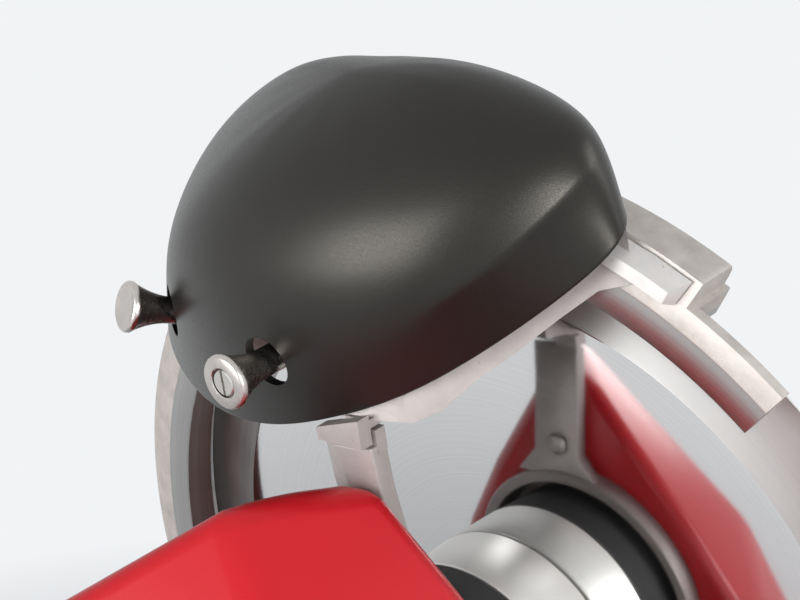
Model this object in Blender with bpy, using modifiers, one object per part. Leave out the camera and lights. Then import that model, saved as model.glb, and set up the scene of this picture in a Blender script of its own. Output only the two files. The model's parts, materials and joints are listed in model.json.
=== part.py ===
"""Gravity-feed meat slicer with a 250 mm blade and a built-in sharpener, in metres.

+Z is up. The operator stands at -Y, slices fall on the -X side and the carriage runs on the +X
side. The origin is on the table, under the middle of the machine.

The cutting head has its own frame, tilted about Y. Its x points to the operator, its y up the
blade and its z along the blade's axis to the motor side, with z = 0 on the blade's flat back.
The plan frame stands upright under the blade's centre, with its z counted from the table.
"""

import math

import bmesh
import bpy
from mathutils import Matrix, Vector

# Clearance between pieces that touch or slide on each other
FIT = 0.0003

# Head: place and tilt
TILT = math.radians(12)
BLADE_X = -0.0100
BLADE_Y = 0.0935
BLADE_HEIGHT = 0.240

# Blade and hub
BLADE_RADIUS = 0.125
BLADE_BAND = 0.021
BLADE_FLAT_RADIUS = BLADE_RADIUS - BLADE_BAND
BLADE_THICKNESS = 0.003
BLADE_BORE = 0.020
BAND_DEPTH = 0.0023
HUB_RADIUS = 0.034
HUB_LENGTH = 0.0194
NUT_POCKET = 0.014
NUT_POCKET_DEPTH = 0.0082
NUT_RADIUS = 0.0115
SPINDLE_RADIUS = 0.0097
SPINDLE_TIP_RADIUS = 0.006
SPINDLE_SHOULDER = 0.0083

# Hub ring and its arm
FRAME_RING_FACE = 0.0345
FRAME_RING_END = 0.057
FRAME_RING_INNER = 0.0365
FRAME_RING_OUTER = 0.0405
FRAME_WEB = 0.0025
ARM_WIDTH = 0.0165
ARM_THICKNESS = 0.0055
ARM_BULGE = 0.002
ARM_TOP = 0.0823
ARM_TAB_TOP = 0.0864
BEARING_RADIUS = 0.0185
BEARING_WIDTH = 0.008

# Ring guard
RING_WIDTH = 0.0155
RING_OUTER = BLADE_RADIUS + RING_WIDTH
RING_OVERLAP = 0.004
RING_LIP = BLADE_RADIUS - RING_OVERLAP
RING_FRONT = -0.005
RING_BACK = 0.012
RING_CHAMFER = 0.0035
RING_CHAMFER_WIDTH = 0.0085
RING_GAP = 0.0016
RING_BARREL_FROM = 32
RING_STEP = 0.006
RING_FLANGE = RING_OUTER - RING_STEP
RING_FLANGE_THICKNESS = 0.004
RING_OPEN_FROM = 44
RING_OPEN_TO = 151
PEDESTAL_WIDTH = 0.090
PEDESTAL_DEPTH = 0.026

# Blade cover and its tie rod
COVER_DISC_INSET = 0.006
COVER_DISC_RADIUS = BLADE_FLAT_RADIUS - COVER_DISC_INSET
COVER_DISC_THICKNESS = 0.0029
EAR_ANGLE = 115
EAR_WIDTH = 0.024
TIE_ROD_RADIUS = 0.003
TIE_KNOB_RADIUS = 0.010
TIE_KNOB_LENGTH = 0.018

# Drive
DRIVE_PLATE_FACE = 0.080
DRIVE_PLATE_THICKNESS = 0.008
MOTOR_X = -0.010
MOTOR_Y = -0.085
MOTOR_RADIUS = 0.038
MOTOR_LENGTH = 0.076
MOTOR_SHAFT_RADIUS = 0.0047
BLADE_PULLEY_RADIUS = 0.032
MOTOR_PULLEY_RADIUS = 0.008
PULLEY_FACE = 0.059
PULLEY_WIDTH = 0.016
PULLEY_RIM = 0.0015
BELT_THICKNESS = 0.0022

# Housings
WALL = 0.0035
BASE_LEFT = -0.200
BASE_RIGHT = 0.150
BASE_FRONT = -0.200
BASE_REAR = 0.130
BASE_TOP = 0.095
BASE_CORNER = 0.028
BASE_EDGE = 0.009
FOOT_HEIGHT = 0.025
FOOT_RADIUS = 0.015
FOOT_INSET = 0.034
BOTTOM_THICKNESS = 0.002
HOUSING_FACE = 0.042
HOUSING_DEPTH = 0.0307
HOUSING_SOFTNESS = 0.006

# Sharpener
COVER_WALL = 0.0025
COVER_HOLE = 0.00675
COVER_BULGE = 0.0025
COVER_LIFT = 0.005
COVER_RIDGE = ((0.32, 0.001, 0.0), (0.12, 0.003, 0.7), (0.02, 0.005, 0.65), (0.0, 0.001, 0.2))
BRACKET_PLATE_LOW = 0.022
BRACKET_PLATE_HIGH = 0.028
BRACKET_LEG_RADIUS = 0.006
BUSH_RADIUS = 0.006
BUSH_LENGTH = 0.0114
BOSS_WALL = 0.003
PLUNGER_RADIUS = 0.00325
KNOB_HEAD_RADIUS = 0.0069
KNOB_NECK_RADIUS = 0.0036
KNOB_LENGTH = 0.0160
KNOB_SKIRT = 0.006
SPRING_RADIUS = 0.0052
SPRING_LENGTH = 0.006
WHEEL_THICKNESS = 0.007
WHEEL_TRAVEL = 0.0025
COLLAR_RADIUS = 0.006
DEBURRING_X = -0.0196
DEBURRING_Y = 0.1032
DEBURRING_HOLE = 0.052
DEBURRING_WHEEL_RADIUS = 0.015
GRINDING_TILT = math.radians(28)
GRINDING_ANGLE = math.radians(36)
GRINDING_WHEEL_RADIUS = 0.0095
GRINDING_WHEEL_CENTRE = 0.1105
GRINDING_WHEEL_HEIGHT = 0.0085
GRINDING_HOLE = 0.0305

# Gauge plate and index dial
GAUGE_GAP = 0.0055
GAUGE_REACH = 0.215
GAUGE_LOW = -0.075
GAUGE_HIGH = 0.086
GAUGE_THICKNESS = 0.006
GAUGE_FOOT_FROM = 0.135
GAUGE_FOOT_TO = 0.175
GAUGE_FOOT_THICKNESS = 0.008
GAUGE_LUG_BELOW = 0.026
GAUGE_LUG_ABOVE = 0.012
GAUGE_LUG_DEPTH = 0.022
GAUGE_TRAVEL = 0.014
GAUGE_ROD_RADIUS = 0.005
GAUGE_ROD_DEPTH = 0.02176
GAUGE_ROD_FROM = -0.030
GAUGE_ROD_TO = 0.056
GAUGE_BRACKET_EAR = 0.006
GAUGE_BRACKET_SIDE = 0.036
GAUGE_BRACKET_BELOW = 0.0072
GAUGE_BRACKET_ABOVE = 0.030
CAM_TURN = math.radians(300)
CAM_SMALL_RADIUS = 0.010
CAM_THICKNESS = 0.006
CAM_X = 0.136
CAM_DROP = 0.016
FOLLOWER_RADIUS = 0.003
INDEX_SHAFT_RADIUS = 0.005
DIAL_RADIUS = 0.026
DIAL_LENGTH = 0.024

# Carriage
CARRIAGE_ROD_X = 0.118
CARRIAGE_ROD_Z = 0.060
CARRIAGE_ROD_RADIUS = 0.007
GUIDE_ROD_X = 0.097
GUIDE_ROD_RADIUS = 0.004
ROD_GAP = 0.001
CARRIAGE_STROKE = 0.240
SLIDER_Y = -0.148
SLIDER_LENGTH = 0.060
SLIDER_HEIGHT = 0.034
ARM_NECK_HEIGHT = 0.018
ARM_NECK_LENGTH = 0.040
COLUMN_X = 0.156
COLUMN_THICKNESS = 0.014
TRAY_Y = -0.078
TRAY_THICKNESS = 0.003
TRAY_FROM = 0.095
TRAY_TO = 0.315
TRAY_NEAR = -0.0085
TRAY_FAR = -0.208
TRAY_RAIL = 0.040
TRAY_WALL_HEIGHT = 0.060
PAD_HEIGHT = 0.014
TRAY_KNOB_RADIUS = 0.015
TRAY_KNOB_X = 0.186
GUARD_THICKNESS = 0.003
GRIP_ROD_X = 0.324
GRIP_ROD_Y = 0.054
GRIP_ROD_RADIUS = 0.006
GRIP_POST_THICKNESS = 0.009
GRIP_BUSH_RADIUS = 0.009
GRIP_BUSH_LENGTH = 0.040
GRIP_SLEEVE_RADIUS = 0.013
GRIP_ARM_DEPTH = 0.012
GRIP_PLATE_FACE = -0.020
GRIP_PLATE_THICKNESS = 0.004
GRIP_PLATE_WIDTH = 0.110
GRIP_PLATE_HEIGHT = 0.078
TOOTH_LENGTH = 0.008
TOOTH_RADIUS = 0.0035
GRIP_KNOB_RADIUS = 0.014

# Controls
BUTTON_RADIUS = 0.010
BUTTON_TRAVEL = 0.0025
BUTTON_LENGTH = 0.009
START_X = -0.150
STOP_X = -0.118
BUTTON_Z = 0.060
SWITCH_PLATE_THICKNESS = 0.003
GLAND_X = -0.150
GLAND_RADIUS = 0.009

# Slice deflector
DEFLECTOR_LOW = -0.100
DEFLECTOR_HIGH = -0.044
DEFLECTOR_WALL = 0.0012

# Finishes: colour, roughness, metallic
RED_PAINT = ((0.58, 0.010, 0.014), 0.32, 0.0)
BLACK_MATT = ((0.035, 0.033, 0.031), 0.55, 0.0)
BLACK_RUBBER = ((0.02, 0.02, 0.02), 0.8, 0.0)
CAST_ALUMINIUM = ((0.48, 0.43, 0.42), 0.5, 1.0)
SATIN_ALUMINIUM = ((0.72, 0.72, 0.72), 0.35, 1.0)
MIRROR_STEEL = ((0.78, 0.78, 0.77), 0.08, 1.0)
BRUSHED_STEEL = ((0.66, 0.65, 0.63), 0.28, 1.0)
TURNED_STEEL = ((0.60, 0.58, 0.55), 0.22, 1.0)
PLATED_STEEL = ((0.5, 0.5, 0.5), 0.4, 1.0)
ABRASIVE = ((0.55, 0.52, 0.48), 0.95, 0.0)
CLEAR_PLASTIC = ((0.85, 0.9, 0.92), 0.1, 0.0)
GREEN_PLASTIC = ((0.03, 0.30, 0.08), 0.4, 0.0)
RED_PLASTIC = ((0.55, 0.02, 0.02), 0.4, 0.0)

HEAD = Matrix.Translation((BLADE_X, BLADE_Y, BLADE_HEIGHT)) @ Matrix(
    (
        (0, -math.sin(TILT), -math.cos(TILT), 0),
        (-1, 0, 0, 0),
        (0, math.cos(TILT), -math.sin(TILT), 0),
        (0, 0, 0, 1),
    )
)
PLAN = Matrix.Translation((BLADE_X, BLADE_Y, 0))


def clear_scene():
    for old in list(bpy.data.objects):
        bpy.data.objects.remove(old, do_unlink=True)


def new_collection(name):
    collection = bpy.data.collections.new(name)
    bpy.context.scene.collection.children.link(collection)
    return collection


def at(frame, x=0.0, y=0.0, z=0.0):
    """The same frame moved along its own axes."""
    return frame @ Matrix.Translation((x, y, z))


def link(name, mesh, frame, finish):
    """Link a piece with its finish or, with no finish, a hidden guide that cuts or joins."""
    piece = bpy.data.objects.new(name, mesh)
    piece.matrix_world = frame
    if finish is None:
        guides.objects.link(piece)
        piece.hide_render = True
        piece.display_type = "WIRE"
        return piece
    parts.objects.link(piece)
    colour, roughness, metallic = finish
    material = bpy.data.materials.new(name)
    material.use_nodes = True
    shader = material.node_tree.nodes["Principled BSDF"]
    shader.inputs["Base Color"].default_value = (*colour, 1.0)
    shader.inputs["Roughness"].default_value = roughness
    shader.inputs["Metallic"].default_value = metallic
    mesh.materials.append(material)
    return piece


def shade(mesh):
    mesh.shade_smooth()
    mesh.set_sharp_from_angle(angle=math.radians(32))


def from_bmesh(name, made, frame, finish):
    mesh = bpy.data.meshes.new(name)
    made.to_mesh(mesh)
    made.free()
    return link(name, mesh, frame, finish)


def bake(piece):
    """Put a piece's modified shape in its mesh, shaded smooth except at its edges."""
    graph = bpy.context.evaluated_depsgraph_get()
    mesh = bpy.data.meshes.new_from_object(piece.evaluated_get(graph))
    piece.modifiers.clear()
    piece.data = mesh
    shade(mesh)
    return piece


def box(name, low, high, frame, finish=None):
    low, high = Vector(low), Vector(high)
    size = Matrix.Diagonal((*(high - low), 1.0))
    made = bmesh.new()
    bmesh.ops.create_cube(made, size=1.0, matrix=Matrix.Translation((low + high) / 2) @ size)
    return from_bmesh(name, made, frame, finish)


def aimed(start, end):
    """A matrix at the middle of a line, with its z along it."""
    start, end = Vector(start), Vector(end)
    turn = (end - start).to_track_quat("Z", "Y").to_matrix().to_4x4()
    return Matrix.Translation((start + end) / 2) @ turn


def cylinder(name, radius, start, end, frame, finish=None, sides=32, end_radius=None):
    made = bmesh.new()
    bmesh.ops.create_cone(
        made,
        cap_ends=True,
        segments=sides,
        radius1=radius,
        radius2=radius if end_radius is None else end_radius,
        depth=(Vector(end) - Vector(start)).length,
        matrix=aimed(start, end),
    )
    piece = from_bmesh(name, made, frame, finish)
    shade(piece.data)
    return piece


def turned(name, profile, frame, finish=None, steps=40):
    """Turn (radius, z) points about the frame's z. They run down the outer side, then back."""
    mesh = bpy.data.meshes.new(name)
    edges = [(i, i + 1) for i in range(len(profile) - 1)]
    if profile[0][0] > 0:
        edges.append((len(profile) - 1, 0))
    mesh.from_pydata([(radius, 0.0, z) for radius, z in profile], edges, [])
    piece = link(name, mesh, frame, finish)
    turn = piece.modifiers.new("turn", "SCREW")
    turn.steps = turn.render_steps = steps
    turn.use_merge_vertices = True
    turn.merge_threshold = 0.00001
    return bake(piece)


def ring(name, outer, inner, low, high, frame, finish=None, steps=40):
    corners = ((outer, high), (outer, low), (inner, low), (inner, high))
    return turned(name, corners, frame, finish, steps)


def flat(name, outlines, low, high, frame, finish=None):
    """A flat shape in x and y from low to high, with every outline after the first a hole."""
    curve = bpy.data.curves.new(name, "CURVE")
    curve.dimensions = "2D"
    curve.fill_mode = "BOTH"
    curve.extrude = (high - low) / 2
    for outline in outlines:
        spline = curve.splines.new("POLY")
        spline.points.add(len(outline) - 1)
        for point, (x, y) in zip(spline.points, outline):
            point.co = (x, y, 0.0, 1.0)
        spline.use_cyclic_u = True
    drawn = bpy.data.objects.new(name + "_outline", curve)
    guides.objects.link(drawn)
    drawn.matrix_world = at(frame, z=(low + high) / 2)
    bpy.context.view_layer.update()
    graph = bpy.context.evaluated_depsgraph_get()
    mesh = bpy.data.meshes.new_from_object(drawn.evaluated_get(graph))
    mesh.transform(Matrix.Translation((0, 0, (low + high) / 2)))
    bpy.data.objects.remove(drawn, do_unlink=True)
    made = bmesh.new()
    made.from_mesh(mesh)
    bmesh.ops.remove_doubles(made, verts=made.verts, dist=0.00001)
    return from_bmesh(name, made, frame, finish)


def loft(name, sections, frame, finish=None):
    """Skin equal rings of points, each run anticlockwise as seen from the last one."""
    made = bmesh.new()
    rings = [[made.verts.new(point) for point in section] for section in sections]
    count = len(rings[0])
    for near, far in zip(rings, rings[1:]):
        for i in range(count):
            j = (i + 1) % count
            made.faces.new((near[i], near[j], far[j], far[i]))
    made.faces.new(rings[0][::-1])
    made.faces.new(rings[-1])
    bmesh.ops.recalc_face_normals(made, faces=made.faces)
    return from_bmesh(name, made, frame, finish)


def boolean(piece, guide, operation):
    modifier = piece.modifiers.new(guide.name, "BOOLEAN")
    modifier.operation = operation
    modifier.solver = "EXACT"
    modifier.object = guide


def cut(piece, *shapes):
    for guide in shapes:
        boolean(piece, guide, "DIFFERENCE")


def join(piece, *shapes):
    for guide in shapes:
        boolean(piece, guide, "UNION")


def soften(piece, width, segments=2, degrees=40):
    bevel = piece.modifiers.new("soften", "BEVEL")
    bevel.width = width
    bevel.segments = segments
    bevel.limit_method = "ANGLE"
    bevel.angle_limit = math.radians(degrees)


def thicken(piece, wall):
    """Turn an open surface into a wall that lies inside it."""
    solid = piece.modifiers.new("wall", "SOLIDIFY")
    solid.thickness = wall
    solid.offset = -1.0
    solid.use_even_offset = True


def arc(centre, radius, start, end, steps):
    """Points from one angle to another, in degrees from x towards y."""
    angles = [math.radians(start + (end - start) * i / steps) for i in range(steps + 1)]
    return [(centre[0] + radius * math.cos(a), centre[1] + radius * math.sin(a)) for a in angles]


def rounded_rectangle(left, right, front, rear, radius, steps=5):
    points = arc((right - radius, rear - radius), radius, 0, 90, steps)
    points += arc((left + radius, rear - radius), radius, 90, 180, steps)
    points += arc((left + radius, front + radius), radius, 180, 270, steps)
    points += arc((right - radius, front + radius), radius, 270, 360, steps)
    return points


def plan_x(y, z):
    """Where a point of the head lies along the plan frame's x."""
    return -y * math.sin(TILT) - z * math.cos(TILT)


def plan_z(y, z):
    """How high a point of the head lies above the table."""
    return BLADE_HEIGHT + y * math.cos(TILT) - z * math.sin(TILT)


def head_y(height, z):
    """The head's y at a height above the table."""
    return (height - BLADE_HEIGHT + z * math.sin(TILT)) / math.cos(TILT)


# Base


def base_housing():
    outline = rounded_rectangle(BASE_LEFT, BASE_RIGHT, BASE_FRONT, BASE_REAR, BASE_CORNER)
    made = bmesh.new()
    foot = [made.verts.new((x, y, FOOT_HEIGHT)) for x, y in outline]
    top = [made.verts.new((x, y, BASE_TOP)) for x, y in outline]
    for i in range(len(outline)):
        j = (i + 1) % len(outline)
        made.faces.new((foot[i], foot[j], top[j], top[i]))
    made.faces.new(top)
    piece = from_bmesh("base_housing", made, PLAN, RED_PAINT)
    soften(piece, BASE_EDGE, 2, 50)
    thicken(piece, WALL)
    cut(piece, *base_openings())
    return piece


def below_base_top(name):
    """A cutter for what would reach below the base's top."""
    return box(name, (-0.25, -0.25, 0), (0.25, 0.25, BASE_TOP + FIT), PLAN)


def base_openings():
    """Cutters for what passes through the base: foot, motor, arm, shaft, buttons and gland."""
    out = 2 * WALL
    foot_y = head_y(BASE_TOP, 0)
    foot_near = plan_x(foot_y, GAUGE_THICKNESS / 2) + 0.004
    foot_far = plan_x(foot_y, GAUGE_THICKNESS / 2 + GAUGE_FOOT_THICKNESS + GAUGE_TRAVEL) - 0.006
    yield box(
        "gauge_slot",
        (foot_far, -GAUGE_FOOT_TO - 0.003, BASE_TOP - out),
        (foot_near, -GAUGE_FOOT_FROM + 0.003, BASE_TOP + out),
        PLAN,
    )
    motor_from = DRIVE_PLATE_FACE + DRIVE_PLATE_THICKNESS
    motor_low = MOTOR_Y - MOTOR_RADIUS
    yield box(
        "motor_opening",
        (plan_x(motor_low, motor_from + MOTOR_LENGTH) - 0.006, -MOTOR_RADIUS, BASE_TOP - out),
        (plan_x(motor_low, motor_from) - 0.008, MOTOR_RADIUS + 0.020, BASE_TOP + out),
        PLAN,
    )
    neck = ARM_NECK_HEIGHT / 2 + 0.003
    neck_from = SLIDER_Y - ARM_NECK_LENGTH / 2 - 0.004
    neck_to = SLIDER_Y + CARRIAGE_STROKE + ARM_NECK_LENGTH / 2 + 0.004
    yield box(
        "carriage_slot",
        (BASE_RIGHT - out, neck_from, CARRIAGE_ROD_Z - neck),
        (BASE_RIGHT + out, neck_to, CARRIAGE_ROD_Z + neck),
        PLAN,
    )
    front, rear = BASE_FRONT - out, BASE_FRONT + out
    dial_x, dial_z = plan_x(cam_y(), cam_z()), plan_z(cam_y(), cam_z())
    for name, x, z, radius in (
        ("index_hole", dial_x, dial_z, INDEX_SHAFT_RADIUS + FIT),
        ("start_hole", START_X, BUTTON_Z, BUTTON_RADIUS + FIT),
        ("stop_hole", STOP_X, BUTTON_Z, BUTTON_RADIUS + FIT),
    ):
        yield cylinder(name, radius, (x, front, z), (x, rear, z), PLAN)
    low, high = (GLAND_X, BASE_REAR - out, BUTTON_Z), (GLAND_X, BASE_REAR + out, BUTTON_Z)
    yield cylinder("gland_hole", GLAND_RADIUS + FIT, low, high, PLAN)


def bottom_plate():
    inset = WALL + FIT
    outline = rounded_rectangle(
        BASE_LEFT + inset,
        BASE_RIGHT - inset,
        BASE_FRONT + inset,
        BASE_REAR - inset,
        BASE_CORNER - inset,
    )
    flat("bottom_plate", [outline], FOOT_HEIGHT, FOOT_HEIGHT + BOTTOM_THICKNESS, PLAN, PLATED_STEEL)


def feet():
    profile = (
        (0, FOOT_HEIGHT - FIT),
        (FOOT_RADIUS * 0.8, FOOT_HEIGHT - FIT),
        (FOOT_RADIUS * 0.8, FOOT_HEIGHT * 0.8),
        (FOOT_RADIUS, FOOT_HEIGHT * 0.7),
        (FOOT_RADIUS * 0.9, 0),
        (0, 0),
    )
    left, right = BASE_LEFT + FOOT_INSET, BASE_RIGHT - FOOT_INSET
    front, rear = BASE_FRONT + FOOT_INSET, BASE_REAR - FOOT_INSET
    corners = ((left, front), (right, front), (right, rear), (left, rear))
    for number, (x, y) in enumerate(corners, 1):
        turned(f"foot_{number}", profile, at(PLAN, x, y), BLACK_RUBBER, 18)


def motor_housing():
    """A faceted hood: sloping front face, right side, hood slope and rear side."""
    face = HOUSING_FACE
    low = head_y(BASE_TOP, face) - HOUSING_DEPTH
    points = (
        (0.096, low, face),
        (0.064, -0.006, face),
        (0.0385, 0.033, face),
        (0.005, 0.074, face + 0.005),
        (-0.014, 0.066, face + 0.004),
        (-0.037, 0.031, face),
        (-0.056, -0.001, face),
        (-0.090, low, face),
        (-0.014, 0.079, 0.078),
        (0.035, 0.014, 0.105),
        (-0.067, 0.048, 0.138),
        (0.030, -0.060, 0.171),
        (-0.070, -0.020, 0.192),
        (0.088, low, 0.152),
        (0.040, low, 0.204),
        (-0.080, low, 0.216),
        (-0.102, low, 0.120),
    )
    made = bmesh.new()
    hull = bmesh.ops.convex_hull(made, input=[made.verts.new(point) for point in points])
    spare = {item for item in hull["geom_interior"] if isinstance(item, bmesh.types.BMVert)}
    bmesh.ops.delete(made, geom=list(spare), context="VERTS")
    bmesh.ops.dissolve_limit(
        made, angle_limit=math.radians(2), verts=made.verts, edges=made.edges
    )
    head_from_plan = HEAD.inverted() @ PLAN
    bmesh.ops.bisect_plane(
        made,
        geom=made.verts[:] + made.edges[:] + made.faces[:],
        plane_co=head_from_plan @ Vector((0, 0, BASE_TOP - 2 * WALL)),
        plane_no=head_from_plan.to_3x3() @ Vector((0, 0, 1)),
        clear_inner=True,
    )
    piece = from_bmesh("motor_housing", made, HEAD, RED_PAINT)
    soften(piece, HOUSING_SOFTNESS, 3, 10)
    thicken(piece, WALL)
    start, end = (0, 0, face - 0.02), (0, 0, face + 0.02)
    hub_hole = cylinder("hub_hole", FRAME_RING_OUTER + FIT, start, end, HEAD, sides=48)
    cut(piece, hub_hole, below_base_top("under_housing"))


def base():
    base_housing()
    bottom_plate()
    feet()
    motor_housing()


# Blade and its drive


def blade():
    band = (BLADE_RADIUS - BLADE_FLAT_RADIUS) / 3
    profile = (
        (BLADE_BORE, 0),
        (BLADE_FLAT_RADIUS, 0),
        (BLADE_FLAT_RADIUS + band, -BAND_DEPTH * 0.50),
        (BLADE_FLAT_RADIUS + 2 * band, -BAND_DEPTH * 0.85),
        (BLADE_RADIUS, -BAND_DEPTH),
        (BLADE_RADIUS, -BLADE_THICKNESS + FIT),
        (BLADE_RADIUS - 0.004, -BLADE_THICKNESS),
        (BLADE_BORE, -BLADE_THICKNESS),
    )
    turned("blade", profile, HEAD, MIRROR_STEEL, 72)


def blade_hub():
    pocket_end = NUT_POCKET_DEPTH - BLADE_THICKNESS
    boss = BLADE_BORE - FIT
    profile = (
        (HUB_RADIUS, HUB_LENGTH),
        (HUB_RADIUS, 0.0010),
        (HUB_RADIUS - 0.0006, FIT),
        (boss, FIT),
        (boss, -BLADE_THICKNESS),
        (NUT_POCKET, -BLADE_THICKNESS),
        (NUT_POCKET, pocket_end),
        (SPINDLE_TIP_RADIUS + FIT, pocket_end),
        (SPINDLE_TIP_RADIUS + FIT, SPINDLE_SHOULDER - FIT),
        (SPINDLE_RADIUS + FIT, SPINDLE_SHOULDER - FIT),
        (SPINDLE_RADIUS + FIT, HUB_LENGTH),
    )
    turned("blade_hub", profile, HEAD, BRUSHED_STEEL, 36)
    low, high = FIT - BLADE_THICKNESS, pocket_end - FIT
    bore = arc((0, 0), SPINDLE_TIP_RADIUS + FIT, 0, 345, 23)
    flat("blade_nut", [arc((0, 0), NUT_RADIUS, 0, 300, 5), bore], low, high, HEAD, PLATED_STEEL)


def spindle():
    end = DRIVE_PLATE_FACE + DRIVE_PLATE_THICKNESS + 0.004
    profile = (
        (0, end),
        (SPINDLE_RADIUS, end),
        (SPINDLE_RADIUS, SPINDLE_SHOULDER),
        (SPINDLE_TIP_RADIUS, SPINDLE_SHOULDER),
        (SPINDLE_TIP_RADIUS, -BLADE_THICKNESS + FIT),
        (0, -BLADE_THICKNESS + FIT),
    )
    turned("blade_spindle", profile, HEAD, PLATED_STEEL, 24)
    web_end = FRAME_RING_END - BEARING_WIDTH - FIT
    front = (web_end + FIT, web_end + FIT + BEARING_WIDTH)
    rear = (DRIVE_PLATE_FACE, DRIVE_PLATE_FACE + BEARING_WIDTH)
    for name, (low, high) in (("front_bearing", front), ("rear_bearing", rear)):
        ring(name, BEARING_RADIUS, SPINDLE_RADIUS + FIT, low, high, HEAD, PLATED_STEEL, 24)


def hub_collar():
    low = HUB_LENGTH + FIT
    high = FRAME_RING_END - BEARING_WIDTH - FRAME_WEB - 2 * FIT
    ring("hub_collar", HUB_RADIUS - FIT, SPINDLE_RADIUS + 0.002, low, high, HEAD, BLACK_RUBBER, 32)


def pulley(name, radius, bore, frame, steps):
    end = PULLEY_FACE + PULLEY_WIDTH
    rim = radius + PULLEY_RIM
    flange = PULLEY_RIM * 0.6
    profile = (
        (rim, end),
        (rim, end - flange),
        (radius, end - flange - PULLEY_RIM * 0.3),
        (radius, PULLEY_FACE + flange + PULLEY_RIM * 0.3),
        (rim, PULLEY_FACE + flange),
        (rim, PULLEY_FACE),
        (bore, PULLEY_FACE),
        (bore, end),
    )
    turned(name, profile, frame, PLATED_STEEL, steps)


def belt_outline(margin):
    """The outline of a belt round both pulleys, a margin away from them."""
    large, small = BLADE_PULLEY_RADIUS + margin, MOTOR_PULLEY_RADIUS + margin
    reach = math.hypot(MOTOR_X, MOTOR_Y)
    along = math.degrees(math.atan2(MOTOR_Y, MOTOR_X))
    lean = math.degrees(math.acos((large - small) / reach))
    points = arc((MOTOR_X, MOTOR_Y), small, along - lean, along + lean, 10)
    return points + arc((0, 0), large, along + lean, along - lean + 360, 26)


def drive():
    pulley("blade_pulley", BLADE_PULLEY_RADIUS, SPINDLE_RADIUS + FIT, HEAD, 32)
    motor = at(HEAD, MOTOR_X, MOTOR_Y)
    pulley("motor_pulley", MOTOR_PULLEY_RADIUS, MOTOR_SHAFT_RADIUS + FIT, motor, 16)
    middle = PULLEY_FACE + PULLEY_WIDTH / 2
    half = PULLEY_WIDTH / 2 - PULLEY_RIM - FIT
    outlines = [belt_outline(FIT + BELT_THICKNESS), belt_outline(FIT)]
    flat("drive_belt", outlines, middle - half, middle + half, HEAD, BLACK_RUBBER)
    back = DRIVE_PLATE_FACE + DRIVE_PLATE_THICKNESS
    low, high = back + FIT, back + FIT + MOTOR_LENGTH
    ring("motor_body", MOTOR_RADIUS, MOTOR_SHAFT_RADIUS + FIT, low, high, motor, PLATED_STEEL, 28)
    start, end = (0, 0, PULLEY_FACE - 0.002), (0, 0, high - 0.005)
    cylinder("motor_shaft", MOTOR_SHAFT_RADIUS, start, end, motor, PLATED_STEEL, 20)


def drive_plate():
    low = head_y(BASE_TOP, DRIVE_PLATE_FACE) - 0.010
    outline = (
        (-0.044, low),
        (0.046, low),
        (0.038, -0.020),
        (0.029, 0.006),
        (0.012, 0.028),
        (-0.014, 0.032),
        (-0.034, 0.016),
        (-0.044, -0.010),
    )
    low, high = DRIVE_PLATE_FACE, DRIVE_PLATE_FACE + DRIVE_PLATE_THICKNESS
    piece = flat("drive_plate", [outline], low, high, HEAD, PLATED_STEEL)
    seat = cylinder("rear_seat", BEARING_RADIUS + FIT, (0, 0, low - 0.01), (0, 0, high + 0.01), HEAD)
    start, end = (MOTOR_X, MOTOR_Y, low - 0.01), (MOTOR_X, MOTOR_Y, high + 0.01)
    shaft = cylinder("shaft_passage", MOTOR_SHAFT_RADIUS + 0.002, start, end, HEAD)
    cut(piece, seat, shaft, below_base_top("under_plate"))


def blade_group():
    blade()
    blade_hub()
    spindle()
    hub_collar()
    drive()
    drive_plate()


# Blade frame, ring guard and blade cover


def arm_section(y, right, front):
    """One section of the arm: a flat side plate with a rounded back."""
    left = right - ARM_WIDTH
    back = front + ARM_THICKNESS
    return (
        (right, y, front),
        (left, y, front),
        (left, y, back - 0.001),
        (left + ARM_WIDTH * 0.35, y, back + ARM_BULGE),
        (left + ARM_WIDTH * 0.70, y, back + ARM_BULGE * 0.8),
        (right, y, back),
    )


def blade_frame():
    web_end = FRAME_RING_END - BEARING_WIDTH - FIT
    web = web_end - FRAME_WEB
    seat = BEARING_RADIUS + FIT
    passage = SPINDLE_RADIUS + 0.003
    profile = (
        (FRAME_RING_OUTER, FRAME_RING_END),
        (FRAME_RING_OUTER, FRAME_RING_FACE),
        (FRAME_RING_INNER, FRAME_RING_FACE),
        (FRAME_RING_INNER, web),
        (passage, web),
        (passage, web_end),
        (seat, web_end),
        (seat, FRAME_RING_END),
    )
    piece = turned("blade_frame", profile, HEAD, CAST_ALUMINIUM, 36)
    root = (
        (0.011, 0.0375, 0.0355),
        (-0.020, 0.0375, 0.0355),
        (-0.020, 0.0375, 0.0405),
        (-0.010, 0.0375, 0.0412),
        (0.002, 0.0375, 0.0412),
        (0.011, 0.0375, 0.0405),
    )
    low, high = arm_section(0.046, 0.0035, 0.0368), arm_section(ARM_TOP, 0.0052, 0.0424)
    low = tuple((x, y, min(z, HOUSING_FACE + 0.0012)) for x, y, z in low)
    middle = arm_section(0.070, 0.0046, 0.0412)
    middle = tuple((x, y, min(z, HOUSING_FACE + 0.0044)) for x, y, z in middle)
    tab = box("arm_tab", (-0.0023, ARM_TOP - 0.002, 0.0425), (0.0053, ARM_TAB_TOP, 0.0458), HEAD)
    join(piece, loft("arm", [root, low, middle, high], HEAD), tab)
    bolt = (
        (0, -0.0008),
        (0.0032, -0.0008),
        (0.0036, -0.0016),
        (0.0028, -0.0030),
        (0, -0.0032),
    )
    arm_face = Vector((0, 0.0815 - 0.046, 0.0424 - 0.0368)).normalized()
    lean = math.atan2(arm_face.z, arm_face.y)
    spot = at(HEAD, -0.0035, 0.0495, 0.0373 + FIT) @ Matrix.Rotation(lean, 4, "X")
    turned("arm_bolt", bolt, spot, CAST_ALUMINIUM, 20)


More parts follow.
